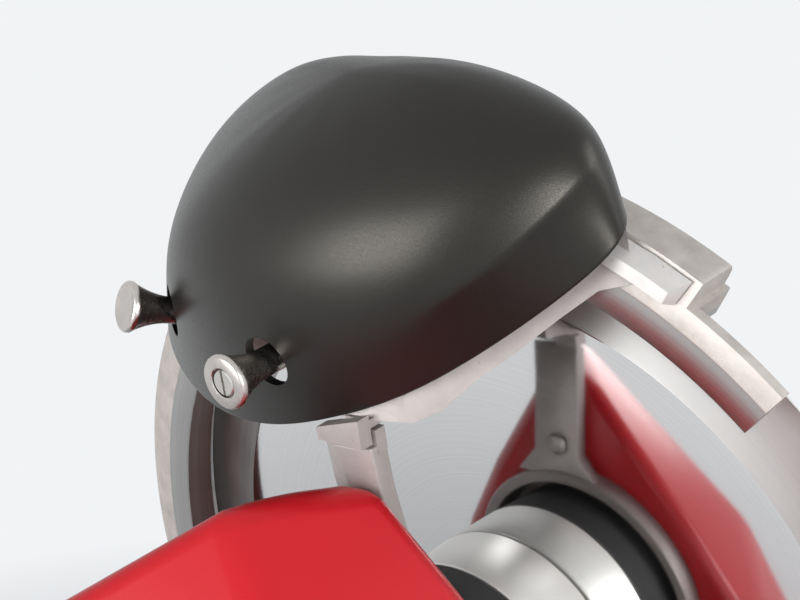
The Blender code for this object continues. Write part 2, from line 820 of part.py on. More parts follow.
def ring_guard():
    """The ring, open towards the operator, on a pedestal that stands on the base."""
    clear = BLADE_RADIUS + RING_GAP
    profile = (
        (RING_LIP + 0.0006, RING_BACK),
        (RING_OUTER - RING_CHAMFER_WIDTH, RING_BACK),
        (RING_OUTER, RING_BACK - RING_CHAMFER),
        (RING_OUTER, RING_FRONT + 0.0015),
        (RING_OUTER - 0.002, RING_FRONT),
        (clear, RING_FRONT),
        (clear, 0.0),
        (RING_LIP + 0.0012, 0.0012),
        (RING_LIP, RING_BACK - FIT),
    )
    piece = turned("ring_guard", profile, HEAD, CAST_ALUMINIUM, 72)
    reach = RING_OUTER * 1.6
    mouth = [(0, 0)] + [
        (reach * math.sin(math.radians(angle)), reach * math.cos(math.radians(angle)))
        for angle in (RING_OPEN_FROM, 62, 92, 122, RING_OPEN_TO)
    ]
    mouth_piece = flat("ring_mouth", [mouth[::-1]], RING_FRONT - 0.01, RING_BACK + 0.01, HEAD)
    low = -RING_OUTER * math.cos(TILT)
    foot_x = -low * math.sin(TILT) / math.cos(TILT) - 0.004
    pedestal = box(
        "pedestal",
        (foot_x - PEDESTAL_DEPTH / 2, -PEDESTAL_WIDTH / 2, BASE_TOP + FIT),
        (foot_x + PEDESTAL_DEPTH / 2, PEDESTAL_WIDTH / 2, BLADE_HEIGHT + low + 0.020),
        PLAN,
    )
    well_low, well_high = (0, 0, RING_FRONT - 0.03), (0, 0, RING_BACK + 0.03)
    well = cylinder("blade_well", clear + 0.0010, well_low, well_high, HEAD, sides=72)
    cut(pedestal, well)
    flange = RING_BACK - RING_FLANGE_THICKNESS
    outside = ring_sector("barrel_end", 0, RING_FLANGE, reach, RING_BACK + 0.01)
    below = ring_sector("flange_foot", 0.7, RING_LIP - 0.003, reach, flange)
    cut(piece, mouth_piece, outside, below, below_base_top("under_ring"))
    join(piece, pedestal)
    notch = ear_shape("ear_notch", FIT, RING_FRONT - 0.005, -BLADE_THICKNESS, None)
    spot = ear_spot()
    bore = cylinder(
        "tie_bore",
        TIE_ROD_RADIUS + FIT,
        (spot.x, spot.y, RING_FRONT - 0.01),
        (spot.x, spot.y, RING_BACK + 0.01),
        HEAD,
        sides=20,
    )
    cut(piece, notch, bore)


def ring_sector(name, inset, inner, outer, high):
    """A cutter for the stretch between the barrel's end and the ring's mouth."""
    start, end = 90 - RING_OPEN_FROM - 2, 90 - RING_BARREL_FROM - inset
    points = arc((0, 0), outer, start, end, 3) + arc((0, 0), inner, end, start, 6)
    return flat(name, [points], RING_FRONT - 0.01, high, HEAD)


def ear_spot():
    radius = (BLADE_RADIUS + RING_OUTER) / 2
    angle = math.radians(EAR_ANGLE)
    return Vector((-radius * math.sin(angle), radius * math.cos(angle), 0))


def ear_shape(name, margin, low, high, finish):
    """The blade cover's ear, which reaches out over the ring guard."""
    spot = ear_spot()
    out = math.degrees(math.atan2(spot.y, spot.x))
    half = EAR_WIDTH / 2 + margin
    tip = half * 0.6
    inner = spot.normalized() * (COVER_DISC_RADIUS * 0.8)
    side = Vector((-spot.y, spot.x, 0)).normalized() * half
    points = arc((spot.x, spot.y), tip, out - 60, out + 60, 6)
    points += [(inner.x + side.x, inner.y + side.y), (inner.x - side.x, inner.y - side.y)]
    return flat(name, [points], low, high, HEAD, finish)


def blade_cover():
    face = -BLADE_THICKNESS - FIT
    front = face - COVER_DISC_THICKNESS
    profile = (
        (0, face),
        (COVER_DISC_RADIUS - 0.0005, face),
        (COVER_DISC_RADIUS, face - 0.0006),
        (COVER_DISC_RADIUS - 0.004, front + 0.0004),
        (0, front),
    )
    piece = turned("blade_cover", profile, HEAD, SATIN_ALUMINIUM, 60)
    join(piece, ear_shape("ear", 0.0, front + 0.0008, face, None))
    spot = ear_spot()
    low, high = (spot.x, spot.y, front - 0.01), (spot.x, spot.y, face + 0.01)
    cut(piece, cylinder("ear_bore", TIE_ROD_RADIUS + FIT, low, high, HEAD, sides=20))
    knob = RING_BACK + 2 * FIT
    rod = (
        (0, knob + TIE_KNOB_LENGTH),
        (TIE_KNOB_RADIUS * 0.8, knob + TIE_KNOB_LENGTH),
        (TIE_KNOB_RADIUS, knob + TIE_KNOB_LENGTH * 0.85),
        (TIE_KNOB_RADIUS, knob + 0.003),
        (TIE_KNOB_RADIUS * 0.6, knob),
        (TIE_ROD_RADIUS, knob),
        (TIE_ROD_RADIUS, front + 0.001),
        (0, front + 0.001),
    )
    turned("cover_tie_rod", rod, at(HEAD, spot.x, spot.y), TURNED_STEEL, 24)


def head_frame():
    blade_frame()
    ring_guard()
    blade_cover()


# Sharpener


def grinding_frame():
    """At the middle of the grinding wheel, with z out along its tilted rod."""
    radius = GRINDING_WHEEL_CENTRE
    x, y = -radius * math.sin(GRINDING_ANGLE), radius * math.cos(GRINDING_ANGLE)
    around = Matrix.Rotation(GRINDING_ANGLE, 4, "Z")
    lean = Matrix.Rotation(-GRINDING_TILT, 4, "X")
    return at(HEAD, x, y, GRINDING_WHEEL_HEIGHT) @ around @ lean


def deburring_frame():
    return at(HEAD, DEBURRING_X, DEBURRING_Y, WHEEL_THICKNESS / 2 + WHEEL_TRAVEL + 2 * FIT)


def plunger(name, frame, wheel_radius, hole, screwed):
    """Wheel, rod, bush, spring and knob in line. The hole is where the knob leaves the cover."""
    wheel_top = WHEEL_THICKNESS / 2
    bore = PLUNGER_RADIUS + FIT
    wheel = (
        (wheel_radius, wheel_top),
        (wheel_radius, -wheel_top),
        (wheel_radius * 0.55, -wheel_top),
        (wheel_radius * 0.45, -wheel_top * 0.4),
        (bore, -wheel_top * 0.4),
        (bore, wheel_top),
    )
    turned(f"{name}_wheel", wheel, frame, ABRASIVE, 24)
    skirt = hole - KNOB_SKIRT
    collar = wheel_top + FIT
    rod = (
        (0, skirt + KNOB_SKIRT * 0.9),
        (PLUNGER_RADIUS * 0.6, skirt + KNOB_SKIRT * 0.9),
        (PLUNGER_RADIUS * 0.6, skirt - FIT),
        (PLUNGER_RADIUS, skirt - FIT),
        (PLUNGER_RADIUS, collar + 0.002),
        (COLLAR_RADIUS, collar + 0.002),
        (COLLAR_RADIUS, collar),
        (PLUNGER_RADIUS, collar),
        (PLUNGER_RADIUS, -wheel_top * 0.3),
        (0, -wheel_top * 0.3),
    )
    turned(f"{name}_rod", rod, frame, PLATED_STEEL, 16)
    spring_low = skirt - FIT - SPRING_LENGTH
    bush_high = spring_low - FIT
    low = bush_high - BUSH_LENGTH
    ring(f"{name}_bush", BUSH_RADIUS, bore, low, bush_high, frame, PLATED_STEEL, 18)
    high = skirt - FIT
    ring(f"{name}_spring", SPRING_RADIUS, bore + 0.0008, spring_low, high, frame, PLATED_STEEL, 16)
    head = hole + KNOB_LENGTH
    bore = PLUNGER_RADIUS * 0.6 + FIT
    socket = skirt + KNOB_SKIRT * 0.9 + FIT
    flare = [
        (KNOB_HEAD_RADIUS - 0.0005, head),
        (KNOB_HEAD_RADIUS, head - 0.0006),
        (KNOB_HEAD_RADIUS, head - 0.0018),
    ]
    steps = 5
    reach = KNOB_LENGTH * 0.72
    for step in range(1, steps + 1):
        share = step / steps
        swell = (KNOB_HEAD_RADIUS - KNOB_NECK_RADIUS) * (1 - share) ** 2.0
        flare.append((KNOB_NECK_RADIUS + swell, head - 0.0018 - reach * share))
    below = [(KNOB_NECK_RADIUS, skirt), (bore, skirt), (bore, socket), (0, socket)]
    if screwed:
        recess, floor = KNOB_HEAD_RADIUS * 0.54, head - 0.0020
        face = [(0, floor), (recess, floor), (recess, head)]
        screw = (
            (0, head - 0.0001),
            (recess - FIT, head - 0.0001),
            (recess - FIT, floor + FIT),
            (0, floor + FIT),
        )
        slotted = turned(f"{name}_screw", screw, frame, TURNED_STEEL, 24)
        slot_low, slot_high = (-0.0004, -recess, head - 0.0008), (0.0004, recess, head + 0.001)
        cut(slotted, box(f"{name}_slot", slot_low, slot_high, frame))
    else:
        dish = KNOB_HEAD_RADIUS * 0.8
        face = [(0, head - 0.0008), (dish * 0.7, head - 0.0006), (dish, head)]
    turned(f"{name}_knob", face + flare + below, frame, TURNED_STEEL, 24)


def cover_cage():
    """Rings of the cover's cage: rim, wall, shoulder and brow, and the crown's middle."""
    rim = (
        (0.066, 0.133, 0.017),
        (0.044, 0.114, 0.026),
        (0.019, 0.097, 0.043),
        (-0.004, 0.089, 0.050),
        (-0.030, 0.081, 0.050),
        (-0.060, 0.078, 0.043),
        (-0.090, 0.083, 0.030),
        (-0.110, 0.091, 0.012),
        (-0.113, 0.100, -0.006),
        (-0.080, 0.118, -0.014),
        (-0.014, 0.124, -0.014),
        (0.034, 0.124, -0.013),
        (0.048, 0.133, 0.000),
    )
    shoulder = (
        (0.052, 0.157, 0.014),
        (0.046, 0.151, 0.032),
        (0.027, 0.140, 0.048),
        (0.000, 0.133, 0.056),
        (-0.030, 0.129, 0.057),
        (-0.053, 0.129, 0.050),
        (-0.067, 0.130, 0.039),
        (-0.082, 0.137, 0.016),
        (-0.089, 0.143, -0.003),
        (-0.064, 0.155, -0.009),
        (-0.015, 0.155, -0.011),
        (0.021, 0.157, -0.008),
        (0.040, 0.158, 0.001),
    )
    crown = Vector((-0.010, 0.168, 0.020))
    rim = [Vector(point) for point in rim]
    shoulder = [Vector(point) for point in shoulder]
    wall = []
    brow = []
    ridge = list(COVER_RIDGE) + [(0.0, 0.0, 0.0)] * (len(rim) - len(COVER_RIDGE))
    for low, high, (rise, push, _) in zip(rim, shoulder, ridge):
        middle = low.lerp(high, 0.5 + rise)
        out = middle - crown
        out.y = 0
        wall.append(middle + out.normalized() * (COVER_BULGE + push))
        brow.append(high.lerp(crown, 0.45) + Vector((0, COVER_LIFT, 0)))
    return rim, wall, shoulder, brow, crown


def sharpener_cover():
    made = bmesh.new()
    *rings, crown = cover_cage()
    rings = [[made.verts.new(point) for point in ring_points] for ring_points in rings]
    count = len(rings[0])
    for low, high in zip(rings, rings[1:]):
        for i in range(count):
            j = (i + 1) % count
            made.faces.new((low[j], low[i], high[i], high[j]))
    middle = made.verts.new(crown)
    for i in range(count):
        made.faces.new((rings[-1][(i + 1) % count], rings[-1][i], middle))
    bmesh.ops.recalc_face_normals(made, faces=made.faces)
    creases = made.edges.layers.float.new("crease_edge")
    wall = rings[1]
    for number, (_, _, crease) in enumerate(COVER_RIDGE):
        made.edges.get((wall[number - 1], wall[number]))[creases] = crease
    piece = from_bmesh("sharpener_cover", made, HEAD, BLACK_MATT)
    smooth = piece.modifiers.new("smooth", "SUBSURF")
    smooth.levels = smooth.render_levels = 2
    thicken(piece, COVER_WALL)
    for name, frame, hole in holes():
        start, end = (0, 0, hole - 0.014), (0, 0, hole + 0.012)
        cut(piece, cylinder(f"{name}_cover_hole", COVER_HOLE, start, end, frame, sides=28))
    cut(piece, ring_envelope("ring_space"))


def holes():
    wheel_middle = WHEEL_THICKNESS / 2 + WHEEL_TRAVEL + 2 * FIT
    yield "deburring", deburring_frame(), DEBURRING_HOLE - wheel_middle
    yield "grinding", grinding_frame(), GRINDING_HOLE


def bracket_strip():
    """The cast strip that runs under the cover's edge, from the ring guard to the arm."""
    path = (
        (0.0600, 0.1190, 0.0130),
        (0.0510, 0.1166, 0.0145),
        (0.0430, 0.1105, 0.0195),
        (0.0350, 0.1038, 0.0250),
        (0.0270, 0.0976, 0.0320),
        (0.0205, 0.0912, 0.0380),
        (0.0146, 0.0888, 0.0425),
        (0.0041, 0.0883, 0.0450),
        (-0.0040, 0.0880, 0.0466),
    )
    corners = (
        (0.0, 0.0, 0.0),
        (-0.0025, 0.0120, -0.0020),
        (-0.0065, 0.0120, -0.0070),
        (-0.0050, 0.0015, -0.0060),
    )
    sections = [[(x + a, y + b, z + c) for a, b, c in corners] for x, y, z in path]
    return loft("bracket_strip", sections, HEAD)


def ring_gusset():
    """The pad at the bracket's end that lies on the ring guard, along its outer edge."""
    corner = RING_BACK - RING_CHAMFER
    low = gusset_outline(RING_OUTER, corner, RING_FLANGE - 0.001, RING_BACK - 0.002, 0)
    high = gusset_outline(RING_OUTER - 0.003, 0.0145, RING_FLANGE, 0.0152, 1)
    return loft("ring_gusset", [low, high], HEAD)


def gusset_outline(outer, outer_z, inner, inner_z, inset):
    """Points along an arc of the ring guard and back along a smaller one."""
    angles = [math.radians(angle) for angle in (18, 23, 27, RING_BARREL_FROM - 0.7 - inset)]
    points = [(outer * math.sin(a), outer * math.cos(a), outer_z) for a in angles]
    return points + [(inner * math.sin(a), inner * math.cos(a), inner_z) for a in angles[::-1]]


def bracket_foot():
    """The block on top of the arm, whose upper side follows the cover's edge."""
    under = ARM_TOP + 2 * FIT
    ends = ((-0.0100, 0.0862), (0.0045, 0.0905))
    low, high = (
        ((x, under, 0.0464), (x, under, 0.0503), (x, top, 0.0503), (x, top, 0.0464))
        for x, top in ends
    )
    return loft("bracket_foot", [low, high], HEAD)


def ring_envelope(name):
    """A cutter a little larger than the ring guard, for what rests on it."""
    margin = 2 * FIT
    profile = (
        (RING_LIP - 0.004, RING_BACK + margin),
        (RING_OUTER - RING_CHAMFER_WIDTH, RING_BACK + margin),
        (RING_OUTER + margin, RING_BACK - RING_CHAMFER + margin),
        (RING_OUTER + margin, RING_FRONT - margin),
        (RING_LIP - 0.004, RING_FRONT - margin),
    )
    return turned(name, profile, HEAD, None, 72)


def sharpener_bracket():
    low, high = BRACKET_PLATE_LOW, BRACKET_PLATE_HIGH
    outline = (
        (0.031, 0.112),
        (0.034, 0.138),
        (0.010, 0.148),
        (-0.040, 0.140),
        (-0.070, 0.122),
        (-0.080, 0.104),
        (-0.070, 0.096),
        (-0.040, 0.092),
        (0.006, 0.098),
    )
    piece = flat("sharpener_bracket", [outline], low, high, HEAD, CAST_ALUMINIUM)
    ledge = box("ledge", (-0.009, 0.0885, low + 0.001), (0.007, 0.104, 0.0425), HEAD)
    root = box("foot_root", (-0.003, ARM_TAB_TOP + 2 * FIT, 0.0400), (0.0045, 0.0892, 0.0468), HEAD)
    join(piece, bracket_strip(), ring_gusset(), ledge, root, bracket_foot())
    for number, angle in enumerate((-10, 36), 1):
        middle = (RING_LIP + RING_OUTER) / 2
        x, y = -middle * math.sin(math.radians(angle)), middle * math.cos(math.radians(angle))
        start, end = (x, y, RING_BACK + 2 * FIT), (x, y, high - 0.001)
        join(piece, cylinder(f"bracket_leg_{number}", BRACKET_LEG_RADIUS, start, end, HEAD, sides=20))
    for name, frame, hole in holes():
        bush_high = hole - KNOB_SKIRT - 2 * FIT - SPRING_LENGTH
        start, end = (0, 0, bush_high - BUSH_LENGTH), (0, 0, bush_high - 0.002)
        boss = cylinder(f"{name}_boss", BUSH_RADIUS + BOSS_WALL, start, end, frame, sides=24)
        join(piece, boss)
    cut(piece, ring_envelope("ring_seat"))
    for name, frame, hole in holes():
        bush_high = hole - KNOB_SKIRT - 2 * FIT - SPRING_LENGTH
        start, end = (0, 0, bush_high - 0.030), (0, 0, bush_high + 0.030)
        cut(piece, cylinder(f"{name}_seat", BUSH_RADIUS + FIT, start, end, frame, sides=24))


def sharpener():
    sharpener_cover()
    sharpener_bracket()
    for name, frame, hole in holes():
        radius = GRINDING_WHEEL_RADIUS if name == "grinding" else DEBURRING_WHEEL_RADIUS
        plunger(name, frame, radius, hole, name == "deburring")


# Gauge plate and its dial


def gauge_rod_y():
    """The gauge's rod lies inside the base, at a fixed depth under its top."""
    return head_y(BASE_TOP, 0) - GAUGE_ROD_DEPTH


def cam_y():
    return gauge_rod_y() - CAM_DROP


def cam_z():
    """The cam's axis lies where its small radius just meets the follower of the closed gauge."""
    return -FOLLOWER_RADIUS - 2 * FIT - CAM_SMALL_RADIUS


def gauge_plate():
    low, high = GAUGE_LOW, GAUGE_HIGH
    radius = BLADE_RADIUS + GAUGE_GAP
    start, end = math.degrees(math.asin(high / radius)), math.degrees(math.asin(low / radius))
    outline = arc((0, 0), radius, start, end, 24)
    outline += [(GAUGE_REACH - 0.01, low), (GAUGE_REACH, low + 0.01)]
    outline += [(GAUGE_REACH, high - 0.02), (GAUGE_REACH - 0.02, high)]
    face = -BLADE_THICKNESS
    piece = flat("gauge_plate", [outline], face, face + GAUGE_THICKNESS, HEAD, SATIN_ALUMINIUM)
    back = face + GAUGE_THICKNESS
    web = box(
        "gauge_web",
        (GAUGE_FOOT_FROM, gauge_rod_y() - GAUGE_LUG_BELOW, back - 0.001),
        (GAUGE_FOOT_TO, low + 0.030, back + GAUGE_FOOT_THICKNESS),
        HEAD,
    )
    lug_low = (GAUGE_FOOT_FROM, gauge_rod_y() - GAUGE_LUG_BELOW, back)
    lug_high = (GAUGE_FOOT_TO, gauge_rod_y() + GAUGE_LUG_ABOVE, back + GAUGE_LUG_DEPTH)
    lug = box("gauge_lug", lug_low, lug_high, HEAD)
    ear = box(
        "follower_ear",
        (CAM_X + CAM_THICKNESS + 0.002, cam_y() - 0.006, -FOLLOWER_RADIUS - 0.001),
        (CAM_X + CAM_THICKNESS + 0.010, cam_y() + 0.006, back + 0.001),
        HEAD,
    )
    pin_from, pin_to = (CAM_X - 0.002, cam_y(), 0), (CAM_X + CAM_THICKNESS + 0.006, cam_y(), 0)
    pin = cylinder("follower_pin", FOLLOWER_RADIUS, pin_from, pin_to, HEAD, sides=20)
    join(piece, web, lug, ear, pin)
    rod_x = (GAUGE_FOOT_FROM + GAUGE_FOOT_TO) / 2
    bore_from, bore_to = (rod_x, gauge_rod_y(), -0.02), (rod_x, gauge_rod_y(), 0.05)
    cut(piece, cylinder("gauge_bore", GAUGE_ROD_RADIUS + FIT, bore_from, bore_to, HEAD, sides=28))


def gauge_slide():
    """The gauge's rod and the bracket that carries both its ends under the base's top."""
    rod_x, rod_y = (GAUGE_FOOT_FROM + GAUGE_FOOT_TO) / 2, gauge_rod_y()
    start, end = (rod_x, rod_y, GAUGE_ROD_FROM), (rod_x, rod_y, GAUGE_ROD_TO)
    cylinder("gauge_rod", GAUGE_ROD_RADIUS, start, end, HEAD, PLATED_STEEL, 28)
    half, side = GAUGE_ROD_RADIUS + 0.006, GAUGE_BRACKET_SIDE
    low, high = rod_y - GAUGE_BRACKET_BELOW, rod_y + GAUGE_BRACKET_ABOVE
    web_low = (rod_x + half - 0.001, low, GAUGE_ROD_FROM)
    web_high = (rod_x + side, high, GAUGE_ROD_TO)
    bracket = box("gauge_bracket", web_low, web_high, HEAD, PLATED_STEEL)
    ears_low = (rod_x - half, low, GAUGE_ROD_FROM)
    ears_high = (rod_x + half, high, GAUGE_ROD_TO)
    join(bracket, box("gauge_ears", ears_low, ears_high, HEAD))
    ear, out = GAUGE_BRACKET_EAR, 2 * GAUGE_BRACKET_ABOVE
    hollow_low = (rod_x - side, rod_y - out, GAUGE_ROD_FROM + ear)
    hollow_high = (rod_x + side - ear, rod_y + out, GAUGE_ROD_TO - ear)
    bore_from, bore_to = (rod_x, rod_y, GAUGE_ROD_FROM - ear), (rod_x, rod_y, GAUGE_ROD_TO + ear)
    bore = cylinder("rod_seats", GAUGE_ROD_RADIUS + FIT, bore_from, bore_to, HEAD, sides=28)
    under = BASE_TOP - WALL - FIT
    above = box("above_bracket", (-0.25, -0.35, under), (0.25, 0.25, under + 0.1), PLAN)
    cut(bracket, box("gauge_hollow", hollow_low, hollow_high, HEAD), bore, above)


def cam_outline():
    """A spiral that pushes the follower by the gauge's travel, then a step back."""
    points = []
    steps = 36
    for step in range(steps + 1):
        share = step / steps
        radius = CAM_SMALL_RADIUS + GAUGE_TRAVEL * share
        angle = math.pi / 2 - CAM_TURN * share
        points.append((radius * math.cos(angle), radius * math.sin(angle)))
    dwell = math.pi / 2 + math.radians(14)
    points.append((CAM_SMALL_RADIUS * math.cos(dwell), CAM_SMALL_RADIUS * math.sin(dwell)))
    return points


def index_dial():
    """The dial outside the base's front, and the shaft with its cam inside."""
    along_x = Matrix(((0, 0, 1, 0), (1, 0, 0, 0), (0, 1, 0, 0), (0, 0, 0, 1)))
    frame = at(HEAD, CAM_X, cam_y(), cam_z()) @ along_x
    face = -BASE_FRONT - CAM_X
    stem = face + DIAL_LENGTH * 0.75
    cam = flat("index_camshaft", [cam_outline()], 0, CAM_THICKNESS, frame, PLATED_STEEL)
    start, end = (0, 0, CAM_THICKNESS / 2), (0, 0, stem)
    join(cam, cylinder("index_stem", INDEX_SHAFT_RADIUS, start, end, frame, sides=24))
    low, high = face + FIT, face + FIT + DIAL_LENGTH
    grip = DIAL_RADIUS * 0.86
    bore = INDEX_SHAFT_RADIUS + FIT
    profile = (
        (0, high),
        (grip - 0.002, high),
        (grip, high - 0.002),
        (grip * 0.97, low + 0.007),
        (DIAL_RADIUS, low + 0.004),
        (DIAL_RADIUS, low),
        (bore, low),
        (bore, stem + FIT),
        (0, stem + FIT),
    )
    turned("index_dial", profile, frame, BLACK_MATT, 32)


def gauge():
    gauge_plate()
    gauge_slide()
    index_dial()


# Carriage


def carriage_rods():
    front, rear = BASE_FRONT + WALL + ROD_GAP, BASE_REAR - WALL - ROD_GAP
    for number, x, radius in (
        (1, CARRIAGE_ROD_X, CARRIAGE_ROD_RADIUS),
        (2, GUIDE_ROD_X, GUIDE_ROD_RADIUS),
    ):
        start, end = (x, front, CARRIAGE_ROD_Z), (x, rear, CARRIAGE_ROD_Z)
        cylinder(f"carriage_rod_{number}", radius, start, end, PLAN, BRUSHED_STEEL, 28)


def carriage_slider():
    half, height = SLIDER_LENGTH / 2, SLIDER_HEIGHT / 2
    left, right = GUIDE_ROD_X - GUIDE_ROD_RADIUS - 0.004, CARRIAGE_ROD_X + 0.016
    low = (left, SLIDER_Y - half, CARRIAGE_ROD_Z - height)
    high = (right, SLIDER_Y + half, CARRIAGE_ROD_Z + height)
    piece = box("carriage_slider", low, high, PLAN, CAST_ALUMINIUM)
    soften(piece, 0.002, 1)
    for number, x, radius in (
        (1, CARRIAGE_ROD_X, CARRIAGE_ROD_RADIUS),
        (2, GUIDE_ROD_X, GUIDE_ROD_RADIUS),
    ):
        start = (x, SLIDER_Y - half - 0.01, CARRIAGE_ROD_Z)
        end = (x, SLIDER_Y + half + 0.01, CARRIAGE_ROD_Z)
        cut(piece, cylinder(f"slider_bore_{number}", radius + FIT, start, end, PLAN, sides=28))
    return right


def carriage_arm(slider_right):
    """A neck out of the base's slot, a column up and a pad under the tray."""
    half = ARM_NECK_LENGTH / 2
    neck_low = (slider_right + FIT, SLIDER_Y - half, CARRIAGE_ROD_Z - ARM_NECK_HEIGHT / 2)
    neck_high = (COLUMN_X + 0.002, SLIDER_Y + half, CARRIAGE_ROD_Z + ARM_NECK_HEIGHT / 2)
    piece = box("carriage_arm", neck_low, neck_high, PLAN, CAST_ALUMINIUM)
    under = TRAY_Y - TRAY_THICKNESS - FIT
    middle = COLUMN_X + COLUMN_THICKNESS / 2
    pad_z = -(middle + under * math.sin(TILT)) / math.cos(TILT)
    pad_foot = under - PAD_HEIGHT
    column_top = plan_z(pad_foot, pad_z) + PAD_HEIGHT / 2
    column = box(
        "column",
        (COLUMN_X, SLIDER_Y - half, CARRIAGE_ROD_Z - ARM_NECK_HEIGHT / 2 + 0.0005),
        (COLUMN_X + COLUMN_THICKNESS, SLIDER_Y + half, column_top),
        PLAN,
    )
    pad = box(
        "pad",
        (-SLIDER_Y - half - 0.006, pad_foot, pad_z - 0.026),
        (TRAY_KNOB_X + 0.016, under, pad_z + 0.026),
        HEAD,
    )
    join(piece, column, pad)
    start, end = (TRAY_KNOB_X, pad_foot - 0.01, pad_z), (TRAY_KNOB_X, under + 0.01, pad_z)
    cut(piece, cylinder("tray_stud_bore", 0.004 + FIT, start, end, HEAD, sides=20))
    downwards = Matrix(((1, 0, 0, 0), (0, 0, -1, 0), (0, 1, 0, 0), (0, 0, 0, 1)))
    frame = at(HEAD, TRAY_KNOB_X, pad_foot - FIT, pad_z) @ downwards
    knob = (
        (0, PAD_HEIGHT),
        (0.004, PAD_HEIGHT),
        (0.004, 0),
        (TRAY_KNOB_RADIUS * 0.7, 0),
        (TRAY_KNOB_RADIUS, -0.004),
        (TRAY_KNOB_RADIUS, -0.014),
        (TRAY_KNOB_RADIUS * 0.85, -0.018),
        (0, -0.018),
    )
    turned("tray_knob", knob, flipped(frame), BLACK_MATT, 20)


def flipped(frame):
    """The same axis with z the other way."""
    return frame @ Matrix.Rotation(math.pi, 4, "X")


def product_tray():
    top, low = TRAY_Y, TRAY_Y - TRAY_THICKNESS
    piece = box(
        "product_tray", (TRAY_FROM, low, TRAY_FAR), (TRAY_TO, top, TRAY_NEAR), HEAD, SATIN_ALUMINIUM
    )
    sheet = TRAY_THICKNESS
    rail = box(
        "tray_rail",
        (TRAY_FROM, top - 0.001, TRAY_FAR),
        (TRAY_TO, top + TRAY_RAIL, TRAY_FAR + sheet),
        HEAD,
    )
    wall = box(
        "tray_wall",
        (TRAY_TO - sheet, top - 0.001, TRAY_FAR),
        (TRAY_TO, top + TRAY_WALL_HEIGHT, TRAY_NEAR),
        HEAD,
    )
    join(piece, rail, wall)
    rod_top = GRIP_ROD_Y + GRIP_ROD_RADIUS + 0.005
    ends = grip_rod_ends()
    for number, (near, far) in enumerate(ends, 1):
        post = box(
            f"grip_post_{number}",
            (TRAY_TO - 0.001, top + 0.004, far),
            (GRIP_ROD_X + GRIP_ROD_RADIUS + 0.005, rod_top, near),
            HEAD,
        )
        join(piece, post)
    start, end = (GRIP_ROD_X, GRIP_ROD_Y, TRAY_FAR - 0.01), (GRIP_ROD_X, GRIP_ROD_Y, 0.01)
    cut(piece, cylinder("grip_rod_seats", GRIP_ROD_RADIUS + FIT, start, end, HEAD, sides=24))


def grip_rod_ends():
    thick = GRIP_POST_THICKNESS
    return (TRAY_NEAR - 0.001, TRAY_NEAR - 0.001 - thick), (TRAY_FAR + thick, TRAY_FAR)


def hand_guard():
    """A clear shield on the outside of the tray's wall, between the rod's posts."""
    (_, near), (far, _) = grip_rod_ends()
    gap = 0.001
    piece = box(
        "hand_guard",
        (TRAY_TO + FIT, TRAY_Y + 0.015, far + gap),
        (TRAY_TO + FIT + GUARD_THICKNESS, GRIP_ROD_Y - GRIP_SLEEVE_RADIUS - 0.002, near - gap),
        HEAD,
        CLEAR_PLASTIC,
    )
    soften(piece, 0.0008, 1)


